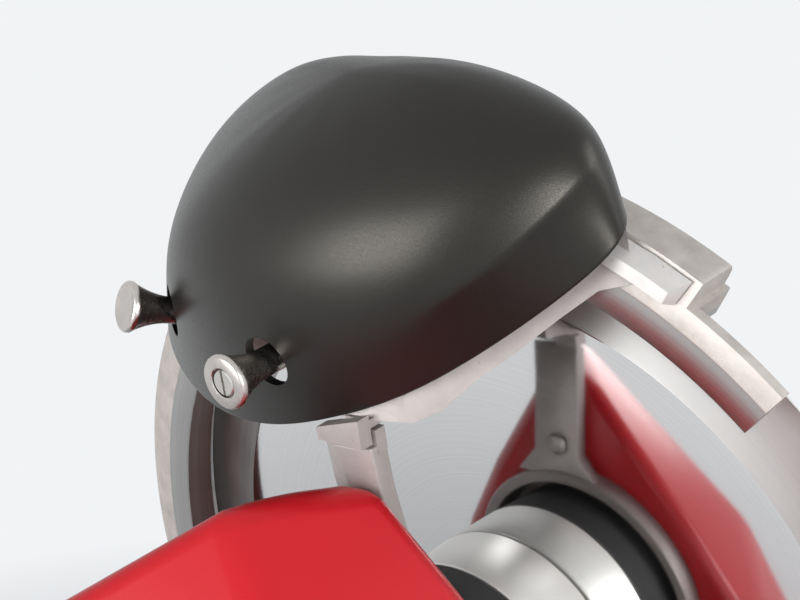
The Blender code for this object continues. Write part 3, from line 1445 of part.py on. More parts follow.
def grip():
    """A sleeve on the rod, the arm over the guard and the toothed plate that holds the food."""
    (_, near), (far, _) = grip_rod_ends()
    frame = at(HEAD, GRIP_ROD_X, GRIP_ROD_Y)
    start, end = (0, 0, TRAY_FAR), (0, 0, TRAY_NEAR - 0.001)
    cylinder("grip_rod", GRIP_ROD_RADIUS, start, end, frame, BRUSHED_STEEL, 24)
    bush_high = near - FIT
    bush_low = bush_high - GRIP_BUSH_LENGTH
    bore = GRIP_ROD_RADIUS + FIT
    bush = (
        (GRIP_BUSH_RADIUS + 0.002, bush_high),
        (GRIP_BUSH_RADIUS + 0.002, bush_high - 0.002),
        (GRIP_BUSH_RADIUS, bush_high - 0.002),
        (GRIP_BUSH_RADIUS, bush_low),
        (bore, bush_low),
        (bore, bush_high),
    )
    turned("grip_bush", bush, frame, BLACK_MATT, 28)
    sleeve_high = bush_high - 0.002 - FIT
    arm = ring(
        "grip_arm",
        GRIP_SLEEVE_RADIUS,
        GRIP_BUSH_RADIUS + FIT,
        bush_low + FIT,
        sleeve_high,
        frame,
        CAST_ALUMINIUM,
        32,
    )
    plate_back = GRIP_PLATE_FACE - GRIP_PLATE_THICKNESS
    plate_x = (TRAY_FROM + TRAY_TO) / 2 + 0.020 - GRIP_ROD_X
    plate_low = TRAY_Y + FIT - GRIP_ROD_Y
    plate_high = plate_low + GRIP_PLATE_HEIGHT
    high = plate_back - FIT
    start = -GRIP_BUSH_RADIUS - 0.0015
    outline = (
        (start, 0.007),
        (plate_x - 0.004, 0.007),
        (plate_x - 0.011, 0.000),
        (plate_x - 0.011, plate_low + 0.018),
        (plate_x + 0.011, plate_low + 0.018),
        (plate_x + 0.011, -0.014),
        (plate_x + 0.018, -0.007),
        (start, -0.007),
    )
    join(arm, flat("grip_beam", [outline[::-1]], high - GRIP_ARM_DEPTH, high, frame))
    plate = box(
        "grip_plate",
        (plate_x - GRIP_PLATE_WIDTH / 2, plate_low, plate_back),
        (plate_x + GRIP_PLATE_WIDTH / 2, plate_high, GRIP_PLATE_FACE),
        frame,
        BRUSHED_STEEL,
    )
    columns, rows = 4, 3
    for column in range(columns):
        for row in range(rows):
            x = plate_x + GRIP_PLATE_WIDTH * ((column + 0.5) / columns - 0.5)
            y = plate_low + GRIP_PLATE_HEIGHT * (row + 0.5) / rows
            start = (x, y, GRIP_PLATE_FACE - 0.001)
            end = (x, y, GRIP_PLATE_FACE + TOOTH_LENGTH)
            tooth = f"tooth_{column}_{row}"
            join(plate, cylinder(tooth, TOOTH_RADIUS, start, end, frame, sides=8, end_radius=0.0004))
    upwards = Matrix(((1, 0, 0, 0), (0, 0, 1, 0), (0, -1, 0, 0), (0, 0, 0, 1)))
    seat = at(frame, plate_x, 0.007 + FIT, high - GRIP_ARM_DEPTH / 2) @ upwards
    radius = GRIP_KNOB_RADIUS
    knob = (
        (0, radius * 2.3),
        (radius * 0.55, radius * 2.15),
        (radius * 0.95, radius * 1.7),
        (radius, radius * 1.2),
        (radius * 0.75, radius * 0.6),
        (radius * 0.38, radius * 0.3),
        (radius * 0.42, 0),
        (0, 0),
    )
    turned("grip_knob", knob, seat, BLACK_MATT, 22)


def carriage():
    carriage_rods()
    carriage_arm(carriage_slider())
    product_tray()
    hand_guard()
    grip()


# Slice deflector, switches and cable gland


def slice_deflector():
    """A bent sheet that peels slices off the blade, with a flange on the housing's face."""
    face = HOUSING_FACE - FIT
    line = (
        (0.058, 0.0045),
        (0.049, 0.0085),
        (0.042, 0.0160),
        (0.038, 0.0280),
        (0.0370, face),
        (0.016, face),
    )
    made = bmesh.new()
    rows = [[made.verts.new((x, y, z)) for x, z in line] for y in (DEFLECTOR_LOW, DEFLECTOR_HIGH)]
    for i in range(len(line) - 1):
        made.faces.new((rows[1][i], rows[1][i + 1], rows[0][i + 1], rows[0][i]))
    piece = from_bmesh("slice_deflector", made, HEAD, BRUSHED_STEEL)
    thicken(piece, DEFLECTOR_WALL)


def controls():
    plate_from, plate_to = BASE_FRONT - FIT - SWITCH_PLATE_THICKNESS, BASE_FRONT - FIT
    middle, half = (START_X + STOP_X) / 2, (STOP_X - START_X) / 2 + 0.018
    low = (middle - half, plate_from, BUTTON_Z - 0.018)
    high = (middle + half, plate_to, BUTTON_Z + 0.018)
    plate = box("switch_plate", low, high, PLAN, BLACK_MATT)
    soften(plate, 0.001, 1)
    for name, x, finish in (("start", START_X, GREEN_PLASTIC), ("stop", STOP_X, RED_PLASTIC)):
        frame = at(PLAN, x, 0, BUTTON_Z)
        start, end = (0, plate_from - 0.01, 0), (0, plate_to + 0.01, 0)
        cut(plate, cylinder(f"{name}_opening", BUTTON_RADIUS + FIT, start, end, frame, sides=28))
        front = plate_from - BUTTON_TRAVEL - 0.001
        piece = cylinder(
            f"{name}_button", BUTTON_RADIUS, (0, front, 0), (0, front + BUTTON_LENGTH, 0), frame, finish, 28
        )
        soften(piece, 0.0008, 1)
    away = Matrix(((1, 0, 0, 0), (0, 0, 1, 0), (0, -1, 0, 0), (0, 0, 0, 1)))
    frame = at(PLAN, GLAND_X, BASE_REAR, BUTTON_Z) @ away
    bore = GLAND_RADIUS * 0.5
    gland = (
        (GLAND_RADIUS * 0.8, 0.020),
        (GLAND_RADIUS * 1.1, 0.016),
        (GLAND_RADIUS * 1.5, 0.006),
        (GLAND_RADIUS * 1.5, FIT),
        (GLAND_RADIUS, FIT),
        (GLAND_RADIUS, -0.012),
        (bore, -0.012),
        (bore, 0.020),
    )
    turned("cable_gland", gland, frame, BLACK_RUBBER, 18)


clear_scene()
parts = new_collection("meat_slicer")
guides = new_collection("cutters")
base()
blade_group()
head_frame()
sharpener()
gauge()
carriage()
slice_deflector()
controls()
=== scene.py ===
"""The looks of the meat slicer: finer shapes, materials, details, floor, light and camera."""

import json
import math

import bmesh
import bpy
from mathutils import Matrix, Vector

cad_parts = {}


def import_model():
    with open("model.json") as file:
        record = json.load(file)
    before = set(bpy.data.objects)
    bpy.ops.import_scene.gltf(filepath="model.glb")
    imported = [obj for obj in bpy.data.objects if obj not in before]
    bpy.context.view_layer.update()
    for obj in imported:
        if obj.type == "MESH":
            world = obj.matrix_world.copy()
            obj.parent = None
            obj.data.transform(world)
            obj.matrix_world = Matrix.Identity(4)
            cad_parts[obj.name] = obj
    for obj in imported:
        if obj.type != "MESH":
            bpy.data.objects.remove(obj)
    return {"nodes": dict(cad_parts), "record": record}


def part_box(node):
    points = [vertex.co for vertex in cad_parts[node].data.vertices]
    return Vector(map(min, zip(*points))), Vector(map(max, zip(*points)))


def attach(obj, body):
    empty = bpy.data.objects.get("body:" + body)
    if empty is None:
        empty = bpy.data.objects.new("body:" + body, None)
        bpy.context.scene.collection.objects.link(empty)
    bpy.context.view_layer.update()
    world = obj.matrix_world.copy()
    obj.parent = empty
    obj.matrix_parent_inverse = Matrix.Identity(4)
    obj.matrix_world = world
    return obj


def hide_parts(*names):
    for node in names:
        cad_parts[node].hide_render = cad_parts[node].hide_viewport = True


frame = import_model()
nodes = frame["nodes"]
body_of = {node: body for body, group in frame["record"]["behaviour"]["bodies"].items() for node in group}
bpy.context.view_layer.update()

# Sizes that the finer shapes share with the part, in metres; the ring's and ear's angles in degrees
FIT = 0.0003
TILT = math.radians(12)
BLADE_X = -0.0100
BLADE_Y = 0.0935
BLADE_HEIGHT = 0.240
BLADE_RADIUS = 0.125
BLADE_FLAT_RADIUS = 0.104
BLADE_THICKNESS = 0.003
BLADE_BORE = 0.020
BAND_DEPTH = 0.0023
HUB_RADIUS = 0.034
HUB_LENGTH = 0.0194
NUT_POCKET = 0.014
NUT_POCKET_DEPTH = 0.0082
SPINDLE_TIP_RADIUS = 0.006
SPINDLE_RADIUS = 0.0097
FRAME_RING_FACE = 0.0345
FRAME_RING_END = 0.057
FRAME_RING_INNER = 0.0365
FRAME_RING_OUTER = 0.0405
BEARING_RADIUS = 0.0185
BEARING_WIDTH = 0.008
FRAME_WEB = 0.0025
ARM_WIDTH = 0.0165
ARM_THICKNESS = 0.0055
ARM_BULGE = 0.002
ARM_TOP = 0.0823
ARM_TAB_TOP = 0.0864
RING_OUTER = 0.1405
RING_LIP = 0.121
RING_FRONT = -0.005
RING_BACK = 0.012
RING_CHAMFER = 0.0035
RING_CHAMFER_WIDTH = 0.0085
RING_GAP = 0.0016
RING_BARREL_FROM = 32
RING_FLANGE = 0.1345
RING_FLANGE_THICKNESS = 0.004
RING_OPEN_FROM = 44
RING_OPEN_TO = 151
PEDESTAL_WIDTH = 0.090
PEDESTAL_DEPTH = 0.026
COVER_DISC_RADIUS = 0.098
COVER_DISC_THICKNESS = 0.0029
EAR_ANGLE = 115
EAR_WIDTH = 0.024
WALL = 0.0035
BASE_TOP = 0.095
HOUSING_FACE = 0.042
HOUSING_SOFTNESS = 0.006
COVER_WALL = 0.0025
COVER_HOLE = 0.00675
COVER_BULGE = 0.0025
COVER_LIFT = 0.005
# The ridge at the cover's first points: rise of the wall's middle, push outwards and crease
COVER_RIDGE = ((0.32, 0.001, 0.0), (0.12, 0.003, 0.7), (0.02, 0.005, 0.65), (0.0, 0.001, 0.2))
KNOB_HEAD_RADIUS = 0.0069
KNOB_NECK_RADIUS = 0.0036
KNOB_LENGTH = 0.0160
KNOB_SKIRT = 0.006
WHEEL_THICKNESS = 0.007
WHEEL_TRAVEL = 0.0025
WHEEL_HEIGHT = WHEEL_THICKNESS / 2 + WHEEL_TRAVEL + 2 * FIT
DEBURRING_X = -0.0196
DEBURRING_Y = 0.1032
DEBURRING_HOLE = 0.052
GRINDING_TILT = math.radians(28)
GRINDING_ANGLE = math.radians(36)
GRINDING_WHEEL_CENTRE = 0.1105
GRINDING_WHEEL_HEIGHT = 0.0085
GRINDING_HOLE = 0.0305

# Values of the dressed shapes alone: where the bracket's pad with its painted highlight (a lighter
# copy of the casting) begins along the head's x, the usual rounding of an edge, the angle in degrees
# from which an edge stays sharp, how far a guide reaches past what it cuts, and how near points lie that
# are merged or on a cutting plane
BRACKET_PAINTED_HIGHLIGHT_FROM = 0.056
EDGE = 0.0004
SHARP_ANGLE = 32
BEYOND = 0.01
MERGE_DISTANCE = 0.00001
WELD_DISTANCE = 0.000005
PLANE_DISTANCE = 0.00002

# Steps of a full turn
RING_STEPS = 288
DISC_STEPS = 256
HUB_STEPS = 160
TURN_STEPS = 96

# Frames: at the blade's middle with z along its axis to the motor, and on the floor below it
HEAD = Matrix.Translation((BLADE_X, BLADE_Y, BLADE_HEIGHT)) @ Matrix(
    (
        (0, -math.sin(TILT), -math.cos(TILT), 0),
        (-1, 0, 0, 0),
        (0, math.cos(TILT), -math.sin(TILT), 0),
        (0, 0, 0, 1),
    )
)
PLAN = Matrix.Translation((BLADE_X, BLADE_Y, 0))

# Camera: its place in the head's frame, how far it looks down and the way it faces in plan
CAMERA_SPOT = Vector((0.2540, 0.2443, 0.2819))
CAMERA_PITCH = math.radians(11.54)
CAMERA_AZIMUTH = math.radians(42.385)
CAMERA_LENS = 72.0

# Background, floor and world: the floor turns into plain background from near to far
BACKGROUND = (0.880, 0.896, 0.914)
FLOOR_LOW = (0.80, 0.815, 0.83)
FLOOR_HIGH = (0.82, 0.835, 0.85)
FLOOR_NEAR = 0.40
FLOOR_FAR = 0.85
WORLD_COLOUR = (0.92, 0.95, 1.0)
WORLD_LOW = 0.65
WORLD_HIGH = 0.26
WORLD_FADE_FROM = 0.10
WORLD_FADE_TO = 0.45
FLOOR_HALF = 150.0

# Soft lamps: the point they face, then each one's place, width and height, and watts
LAMP_AIM = (-0.05, 0.06, 0.32)
LAMPS = {
    "front_box": ((-0.80, -1.35, 0.49), (0.65, 0.7), 22.0),
    "side_box": ((-1.5, 0.42, 0.42), (1.0, 0.8), 21.0),
    "right_box": ((0.9, -1.2, 1.2), (0.9, 0.9), 10.0),
}

# Colours that several materials share
CAST_TINT = (0.37, 0.335, 0.32)
STEEL_TINT = (0.70, 0.69, 0.67)
BRIGHT_TINT = (0.72, 0.72, 0.715)


def link(name, mesh, where, material=None):
    """Link a piece with its material or, with none, a hidden guide that cuts or joins."""
    piece = bpy.data.objects.new(name, mesh)
    piece.matrix_world = where
    bpy.context.scene.collection.objects.link(piece)
    if material is None:
        guides.append(piece)
        return piece
    mesh.materials.clear()
    mesh.materials.append(material)
    return piece


def stands_for(piece, node):
    """The piece rides on a node's body and is shown in its place."""
    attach(piece, body_of[node])
    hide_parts(node)
    return piece


def smooth(mesh, degrees=SHARP_ANGLE):
    mesh.shade_smooth()
    mesh.set_sharp_from_angle(angle=math.radians(degrees))


def bake(piece, degrees=SHARP_ANGLE):
    """Apply the modifiers and shade the result smooth."""
    graph = bpy.context.evaluated_depsgraph_get()
    mesh = bpy.data.meshes.new_from_object(piece.evaluated_get(graph))
    piece.modifiers.clear()
    piece.data = mesh
    smooth(mesh, degrees)
    return piece


def from_bmesh(name, made, where, material=None):
    mesh = bpy.data.meshes.new(name)
    made.to_mesh(mesh)
    made.free()
    return link(name, mesh, where, material)


def box(name, low, high, where, material=None):
    low, high = Vector(low), Vector(high)
    size = Matrix.Diagonal((*(high - low), 1.0))
    made = bmesh.new()
    bmesh.ops.create_cube(made, size=1.0, matrix=Matrix.Translation((low + high) / 2) @ size)
    return from_bmesh(name, made, where, material)


def aimed(start, end):
    start, end = Vector(start), Vector(end)
    turn = (end - start).to_track_quat("Z", "Y").to_matrix().to_4x4()
    return Matrix.Translation((start + end) / 2) @ turn


def cylinder(name, radius, start, end, where, sides):
    made = bmesh.new()
    bmesh.ops.create_cone(
        made,
        cap_ends=True,
        segments=sides,
        radius1=radius,
        radius2=radius,
        depth=(Vector(end) - Vector(start)).length,
        matrix=aimed(start, end),
    )
    piece = from_bmesh(name, made, where)
    smooth(piece.data)
    return piece


def spin(name, points, edges, where, material, steps):
    """Turn a section in the xz plane about z."""
    mesh = bpy.data.meshes.new(name)
    mesh.from_pydata(points, edges, [])
    piece = link(name, mesh, where, material)
    turn = piece.modifiers.new("turn", "SCREW")
    turn.steps = turn.render_steps = steps
    turn.use_merge_vertices = True
    turn.merge_threshold = MERGE_DISTANCE
    return bake(piece)


def turned(name, profile, where, material, steps):
    """Turn (radius, z) points about z. They run down the outer side, then back."""
    edges = [(i, i + 1) for i in range(len(profile) - 1)]
    if profile[0][0] > 0:
        edges.append((len(profile) - 1, 0))
    points = [(radius, 0.0, z) for radius, z in profile]
    return spin(name, points, edges, where, material, steps)


def mesh_of(name, curve, height):
    """The mesh of a curve's shape, with its middle at this height."""
    drawn = bpy.data.objects.new(name + "_outline", curve)
    bpy.context.scene.collection.objects.link(drawn)
    bpy.context.view_layer.update()
    graph = bpy.context.evaluated_depsgraph_get()
    mesh = bpy.data.meshes.new_from_object(drawn.evaluated_get(graph))
    mesh.transform(Matrix.Translation((0, 0, height)))
    bpy.data.objects.remove(drawn, do_unlink=True)
    return mesh


def flat(name, outline, low, high):
    """A flat guide in the head's x and y, from low to high."""
    curve = bpy.data.curves.new(name, "CURVE")
    curve.dimensions = "2D"
    curve.fill_mode = "BOTH"
    curve.extrude = (high - low) / 2
    spline = curve.splines.new("POLY")
    spline.points.add(len(outline) - 1)
    for point, (x, y) in zip(spline.points, outline):
        point.co = (x, y, 0.0, 1.0)
    spline.use_cyclic_u = True
    made = bmesh.new()
    made.from_mesh(mesh_of(name, curve, (low + high) / 2))
    bmesh.ops.remove_doubles(made, verts=made.verts, dist=MERGE_DISTANCE)
    return from_bmesh(name, made, HEAD)


def loft(name, sections, where):
    """A guide through sections that have the same number of points."""
    made = bmesh.new()
    rings = [[made.verts.new(point) for point in section] for section in sections]
    count = len(rings[0])
    for near, far in zip(rings, rings[1:]):
        for i in range(count):
            j = (i + 1) % count
            made.faces.new((near[i], near[j], far[j], far[i]))
    made.faces.new(rings[0][::-1])
    made.faces.new(rings[-1])
    bmesh.ops.recalc_face_normals(made, faces=made.faces)
    return from_bmesh(name, made, where)


def boolean(piece, guide, operation):
    modifier = piece.modifiers.new(guide.name, "BOOLEAN")
    modifier.operation = operation
    modifier.solver = "EXACT"
    modifier.object = guide


def cut(piece, *shapes):
    for guide in shapes:
        boolean(piece, guide, "DIFFERENCE")


def join(piece, *shapes):
    for guide in shapes:
        boolean(piece, guide, "UNION")


def soften(piece, width, segments=3, degrees=35):
    bevel = piece.modifiers.new("soften", "BEVEL")
    bevel.width = width
    bevel.segments = segments
    bevel.limit_method = "ANGLE"
    bevel.angle_limit = math.radians(degrees)
    bevel.use_clamp_overlap = True


def thicken(piece, wall):
    solid = piece.modifiers.new("wall", "SOLIDIFY")
    solid.thickness = wall
    solid.offset = -1.0
    solid.use_even_offset = True


def arc(centre, radius, start, end, steps):
    angles = [math.radians(start + (end - start) * i / steps) for i in range(steps + 1)]
    return [(centre[0] + radius * math.cos(a), centre[1] + radius * math.sin(a)) for a in angles]


def at(where, x, y, z):
    return where @ Matrix.Translation((x, y, z))


def join_flats(made, degrees):
    limit = math.radians(degrees)
    bmesh.ops.dissolve_limit(made, angle_limit=limit, verts=made.verts, edges=made.edges)


def refined(node, material, width, segments=2, degrees=SHARP_ANGLE):
    """A node's own shape with its flats made whole, its edges rounded and its curves smooth."""
    mesh = nodes[node].data.copy()
    made = bmesh.new()
    made.from_mesh(mesh)
    bmesh.ops.remove_doubles(made, verts=made.verts, dist=WELD_DISTANCE)
    join_flats(made, 0.6)
    bpy.data.meshes.remove(mesh)
    piece = from_bmesh(node + "_shape", made, nodes[node].matrix_world.copy(), material)
    if width:
        soften(piece, width, segments, degrees)
    bake(piece, degrees)
    return stands_for(piece, node)


# Sharpener's cover, knobs and bracket


def grinding_frame():
    radius = GRINDING_WHEEL_CENTRE
    x, y = -radius * math.sin(GRINDING_ANGLE), radius * math.cos(GRINDING_ANGLE)
    around = Matrix.Rotation(GRINDING_ANGLE, 4, "Z")
    lean = Matrix.Rotation(-GRINDING_TILT, 4, "X")
    return at(HEAD, x, y, GRINDING_WHEEL_HEIGHT) @ around @ lean


def deburring_frame():
    return at(HEAD, DEBURRING_X, DEBURRING_Y, WHEEL_HEIGHT)


def holes():
    """Each sharpener knob's name, the frame of its wheel, and its hole's height in that frame."""
    yield "deburring", deburring_frame(), DEBURRING_HOLE - WHEEL_HEIGHT
    yield "grinding", grinding_frame(), GRINDING_HOLE


def cover_cage():
    """Rings of points from the cover's rim up to its crown, in the head's frame."""
    rim = (
        (0.066, 0.133, 0.017),
        (0.044, 0.114, 0.026),
        (0.019, 0.097, 0.043),
        (-0.004, 0.089, 0.050),
        (-0.030, 0.081, 0.050),
        (-0.060, 0.078, 0.043),
        (-0.090, 0.083, 0.030),
        (-0.110, 0.091, 0.012),
        (-0.113, 0.100, -0.006),
        (-0.080, 0.118, -0.014),
        (-0.014, 0.124, -0.014),
        (0.034, 0.124, -0.013),
        (0.048, 0.133, 0.000),
    )
    shoulder = (
        (0.052, 0.157, 0.014),
        (0.046, 0.151, 0.032),
        (0.027, 0.140, 0.048),
        (0.000, 0.133, 0.056),
        (-0.030, 0.129, 0.057),
        (-0.053, 0.129, 0.050),
        (-0.067, 0.130, 0.039),
        (-0.082, 0.137, 0.016),
        (-0.089, 0.143, -0.003),
        (-0.064, 0.155, -0.009),
        (-0.015, 0.155, -0.011),
        (0.021, 0.157, -0.008),
        (0.040, 0.158, 0.001),
    )
    crown = Vector((-0.010, 0.168, 0.020))
    brow_share = 0.45
    rim = [Vector(point) for point in rim]
    shoulder = [Vector(point) for point in shoulder]
    wall = []
    brow = []
    ridge = list(COVER_RIDGE) + [(0.0, 0.0, 0.0)] * (len(rim) - len(COVER_RIDGE))
    for low, high, (rise, push, _) in zip(rim, shoulder, ridge):
        middle = low.lerp(high, 0.5 + rise)
        out = middle - crown
        out.y = 0
        wall.append(middle + out.normalized() * (COVER_BULGE + push))
        brow.append(high.lerp(crown, brow_share) + Vector((0, COVER_LIFT, 0)))
    return rim, wall, shoulder, brow, crown


def sharpener_cover():
    """A smoothed shell over the cage, with its ridge creased and its knob holes cut."""
    made = bmesh.new()
    *rings, crown = cover_cage()
    rings = [[made.verts.new(point) for point in ring] for ring in rings]
    count = len(rings[0])
    for low, high in zip(rings, rings[1:]):
        for i in range(count):
            j = (i + 1) % count
            made.faces.new((low[j], low[i], high[i], high[j]))
    middle = made.verts.new(crown)
    for i in range(count):
        made.faces.new((rings[-1][(i + 1) % count], rings[-1][i], middle))
    bmesh.ops.recalc_face_normals(made, faces=made.faces)
    creases = made.edges.layers.float.new("crease_edge")
    wall = rings[1]
    for number, (_, _, crease) in enumerate(COVER_RIDGE):
        made.edges.get((wall[number - 1], wall[number]))[creases] = crease
    piece = from_bmesh("sharpener_cover_shape", made, HEAD, looks["coat"])
    smoothing = piece.modifiers.new("smooth", "SUBSURF")
    smoothing.levels = smoothing.render_levels = 4
    thicken(piece, COVER_WALL)
    soften(piece, 0.0010, 3, 50)
    bake(piece, 40)
    inwards, outwards = 0.014, 0.012
    for name, where, hole in holes():
        start, end = (0, 0, hole - inwards), (0, 0, hole + outwards)
        cut(piece, cylinder(f"{name}_cover_hole", COVER_HOLE, start, end, where, sides=72))
    cut(piece, ring_envelope("ring_space"))
    bake(piece, 40)
    stands_for(piece, "sharpener_cover")


def knob(name, where, hole, screwed):
    """Turned knob: chamfered head, long flare and neck, with a slotted screw or a dish."""
    skirt = hole - KNOB_SKIRT
    head = hole + KNOB_LENGTH
    chamfer, corner, rim = 0.0008, 0.0003, 0.0020
    flare = [
        (KNOB_HEAD_RADIUS - chamfer, head),
        (KNOB_HEAD_RADIUS - corner, head - corner),
        (KNOB_HEAD_RADIUS, head - chamfer),
        (KNOB_HEAD_RADIUS, head - 2 * chamfer),
        (KNOB_HEAD_RADIUS - corner, head - rim),
    ]
    steps = 24
    reach = KNOB_LENGTH * 0.72
    for step in range(1, steps + 1):
        share = step / steps
        swell = (KNOB_HEAD_RADIUS - corner - KNOB_NECK_RADIUS) * (1 - share) ** 2.0
        flare.append((KNOB_NECK_RADIUS + swell, head - rim - reach * share))
    below = [(KNOB_NECK_RADIUS, skirt), (0, skirt)]
    if screwed:
        recess, floor, bevel = KNOB_HEAD_RADIUS * 0.54, head - rim, 0.0002
        face = [(0, floor), (recess, floor), (recess, head - bevel), (recess + bevel, head)]
        knob_screw(name, where, recess, floor, head)
    else:
        dish = KNOB_HEAD_RADIUS * 0.86
        depths = ((0.0, 0.0007), (0.55, 0.00062), (0.85, 0.0004), (1.0, 0.0))
        face = [(dish * share, head - depth) for share, depth in depths]
    profile = face + flare + below
    piece = turned(f"{name}_knob_shape", profile, where, looks["knob"], TURN_STEPS)
    stands_for(piece, f"{name}_knob")


def knob_screw(name, where, recess, floor, head):
    """The slotted screw that fills a knob's recess."""
    gap, slot, slot_depth = 0.0001, 0.0008, 0.0009
    side, chamfer = recess - 0.0004, 0.0003
    screw = (
        (0, head - gap),
        (side - chamfer, head - gap),
        (side, head - gap - chamfer),
        (side, floor + gap),
        (0, floor + gap),
    )
    slotted = turned(f"{name}_screw_shape", screw, where, looks["turned"], steps=64)
    low, high = (-slot / 2, -recess, head - slot_depth), (slot / 2, recess, head + 0.001)
    cut(slotted, box(f"{name}_slot", low, high, where))
    stands_for(bake(slotted), f"{name}_screw")


def ring_envelope(name):
    """The space that the ring guard fills, with a margin round it."""
    margin = 2 * FIT
    inner = RING_LIP - 0.004
    profile = (
        (inner, RING_BACK + margin),
        (RING_OUTER - RING_CHAMFER_WIDTH, RING_BACK + margin),
        (RING_OUTER + margin, RING_BACK - RING_CHAMFER + margin),
        (RING_OUTER + margin, RING_FRONT - margin),
        (inner, RING_FRONT - margin),
    )
    return turned(name, profile, HEAD, None, DISC_STEPS)


def sharpener():
    sharpener_cover()
    for name, where, hole in holes():
        knob(name, where, hole, name == "deburring")
    bracket = refined("sharpener_bracket", looks["bright"], 0.0018, 5, 25)
    # Painted highlight: the pad's faces get a lighter copy of the bracket's casting
    bracket.data.materials.append(looks["pad"])
    to_head = HEAD.inverted() @ bracket.matrix_world
    for polygon in bracket.data.polygons:
        polygon.material_index = int((to_head @ polygon.center).x > BRACKET_PAINTED_HIGHLIGHT_FROM)


# Blade, hub, frame and ring guard


def blade():
    """The disc: flat mirror back and a hollow-ground band up to the edge."""
    band = BLADE_RADIUS - BLADE_FLAT_RADIUS
    step_half, step_depth = 0.0002, 0.0001
    bevel = 0.004
    profile = [
        (BLADE_BORE, 0),
        (BLADE_FLAT_RADIUS - step_half, 0),
        (BLADE_FLAT_RADIUS + step_half, -step_depth),
    ]
    steps = 12
    for step in range(1, steps + 1):
        share = step / steps
        profile.append((BLADE_FLAT_RADIUS + band * share, -BAND_DEPTH * (1 - (1 - share) ** 2)))
    profile += [
        (BLADE_RADIUS, -BLADE_THICKNESS + FIT),
        (BLADE_RADIUS - bevel, -BLADE_THICKNESS),
        (BLADE_BORE, -BLADE_THICKNESS),
    ]
    piece = turned("blade_shape", profile, HEAD, looks["mirror"], DISC_STEPS)
    # The band is ground and rougher than the back; its darker tint is painted shade for a dark reflection
    piece.data.materials.append(looks["bevel"])
    for face in piece.data.polygons:
        face.material_index = int(face.center.xy.length > BLADE_FLAT_RADIUS)
    stands_for(piece, "blade")


def blade_hub():
    """The drum on the blade's back, with its boss and the nut's pocket."""
    pocket_end = NUT_POCKET_DEPTH - BLADE_THICKNESS
    boss = BLADE_BORE - FIT
    foot = 0.0012
    profile = (
        (HUB_RADIUS - EDGE, HUB_LENGTH),
        (HUB_RADIUS, HUB_LENGTH - EDGE),
        (HUB_RADIUS, foot),
        (HUB_RADIUS - foot / 4, foot / 2),
        (HUB_RADIUS - foot * 2 / 3, FIT),
        (boss, FIT),
        (boss, -BLADE_THICKNESS),
        (NUT_POCKET, -BLADE_THICKNESS),
        (NUT_POCKET, pocket_end),
        (SPINDLE_TIP_RADIUS + FIT, pocket_end),
        (SPINDLE_TIP_RADIUS + FIT, HUB_LENGTH),
    )
    stands_for(turned("blade_hub_shape", profile, HEAD, looks["hub"], HUB_STEPS), "blade_hub")


def ring_sector(name, inset, inner, outer, high):
    """A guide over the arc between the ring's barrel and its opening."""
    start, end = 90 - RING_OPEN_FROM - 2, 90 - RING_BARREL_FROM - inset
    points = arc((0, 0), outer, start, end, 12) + arc((0, 0), inner, end, start, 24)
    return flat(name, points, RING_FRONT - BEYOND, high)


def ear_spot():
    radius = (BLADE_RADIUS + RING_OUTER) / 2
    angle = math.radians(EAR_ANGLE)
    return Vector((-radius * math.sin(angle), radius * math.cos(angle), 0))


def ear_shape(name, margin, low, high):
    """The cover's ear, which reaches from its disc into the ring."""
    spot = ear_spot()
    out = math.degrees(math.atan2(spot.y, spot.x))
    half = EAR_WIDTH / 2 + margin
    inner = spot.normalized() * (COVER_DISC_RADIUS * 0.8)
    side = Vector((-spot.y, spot.x, 0)).normalized() * half
    points = arc((spot.x, spot.y), half * 0.6, out - 60, out + 60, 16)
    points += [(inner.x + side.x, inner.y + side.y), (inner.x - side.x, inner.y - side.y)]
    return flat(name, points, low, high)


def ring_mouth(reach):
    """The ring's opening towards the operator, as a fan from the blade's centre."""
    angles = [math.radians(angle) for angle in (RING_OPEN_FROM, 62, 92, 122, RING_OPEN_TO)]
    fan = [(0, 0)] + [(reach * math.sin(angle), reach * math.cos(angle)) for angle in angles]
    return flat("ring_mouth", fan[::-1], RING_FRONT - BEYOND, RING_BACK + BEYOND)


def ring_pedestal(clear):
    """The block between the ring and the base's top, hollowed for the blade."""
    low = -RING_OUTER * math.cos(TILT)
    shift, overlap, gap = 0.004, 0.020, 0.0010
    foot_x = -low * math.sin(TILT) / math.cos(TILT) - shift
    pedestal = box(
        "pedestal",
        (foot_x - PEDESTAL_DEPTH / 2, -PEDESTAL_WIDTH / 2, BASE_TOP + FIT),
        (foot_x + PEDESTAL_DEPTH / 2, PEDESTAL_WIDTH / 2, BLADE_HEIGHT + low + overlap),
        PLAN,
    )
    start, end = (0, 0, RING_FRONT - 3 * BEYOND), (0, 0, RING_BACK + 3 * BEYOND)
    cut(pedestal, cylinder("blade_well", clear + gap, start, end, HEAD, RING_STEPS))
    return pedestal


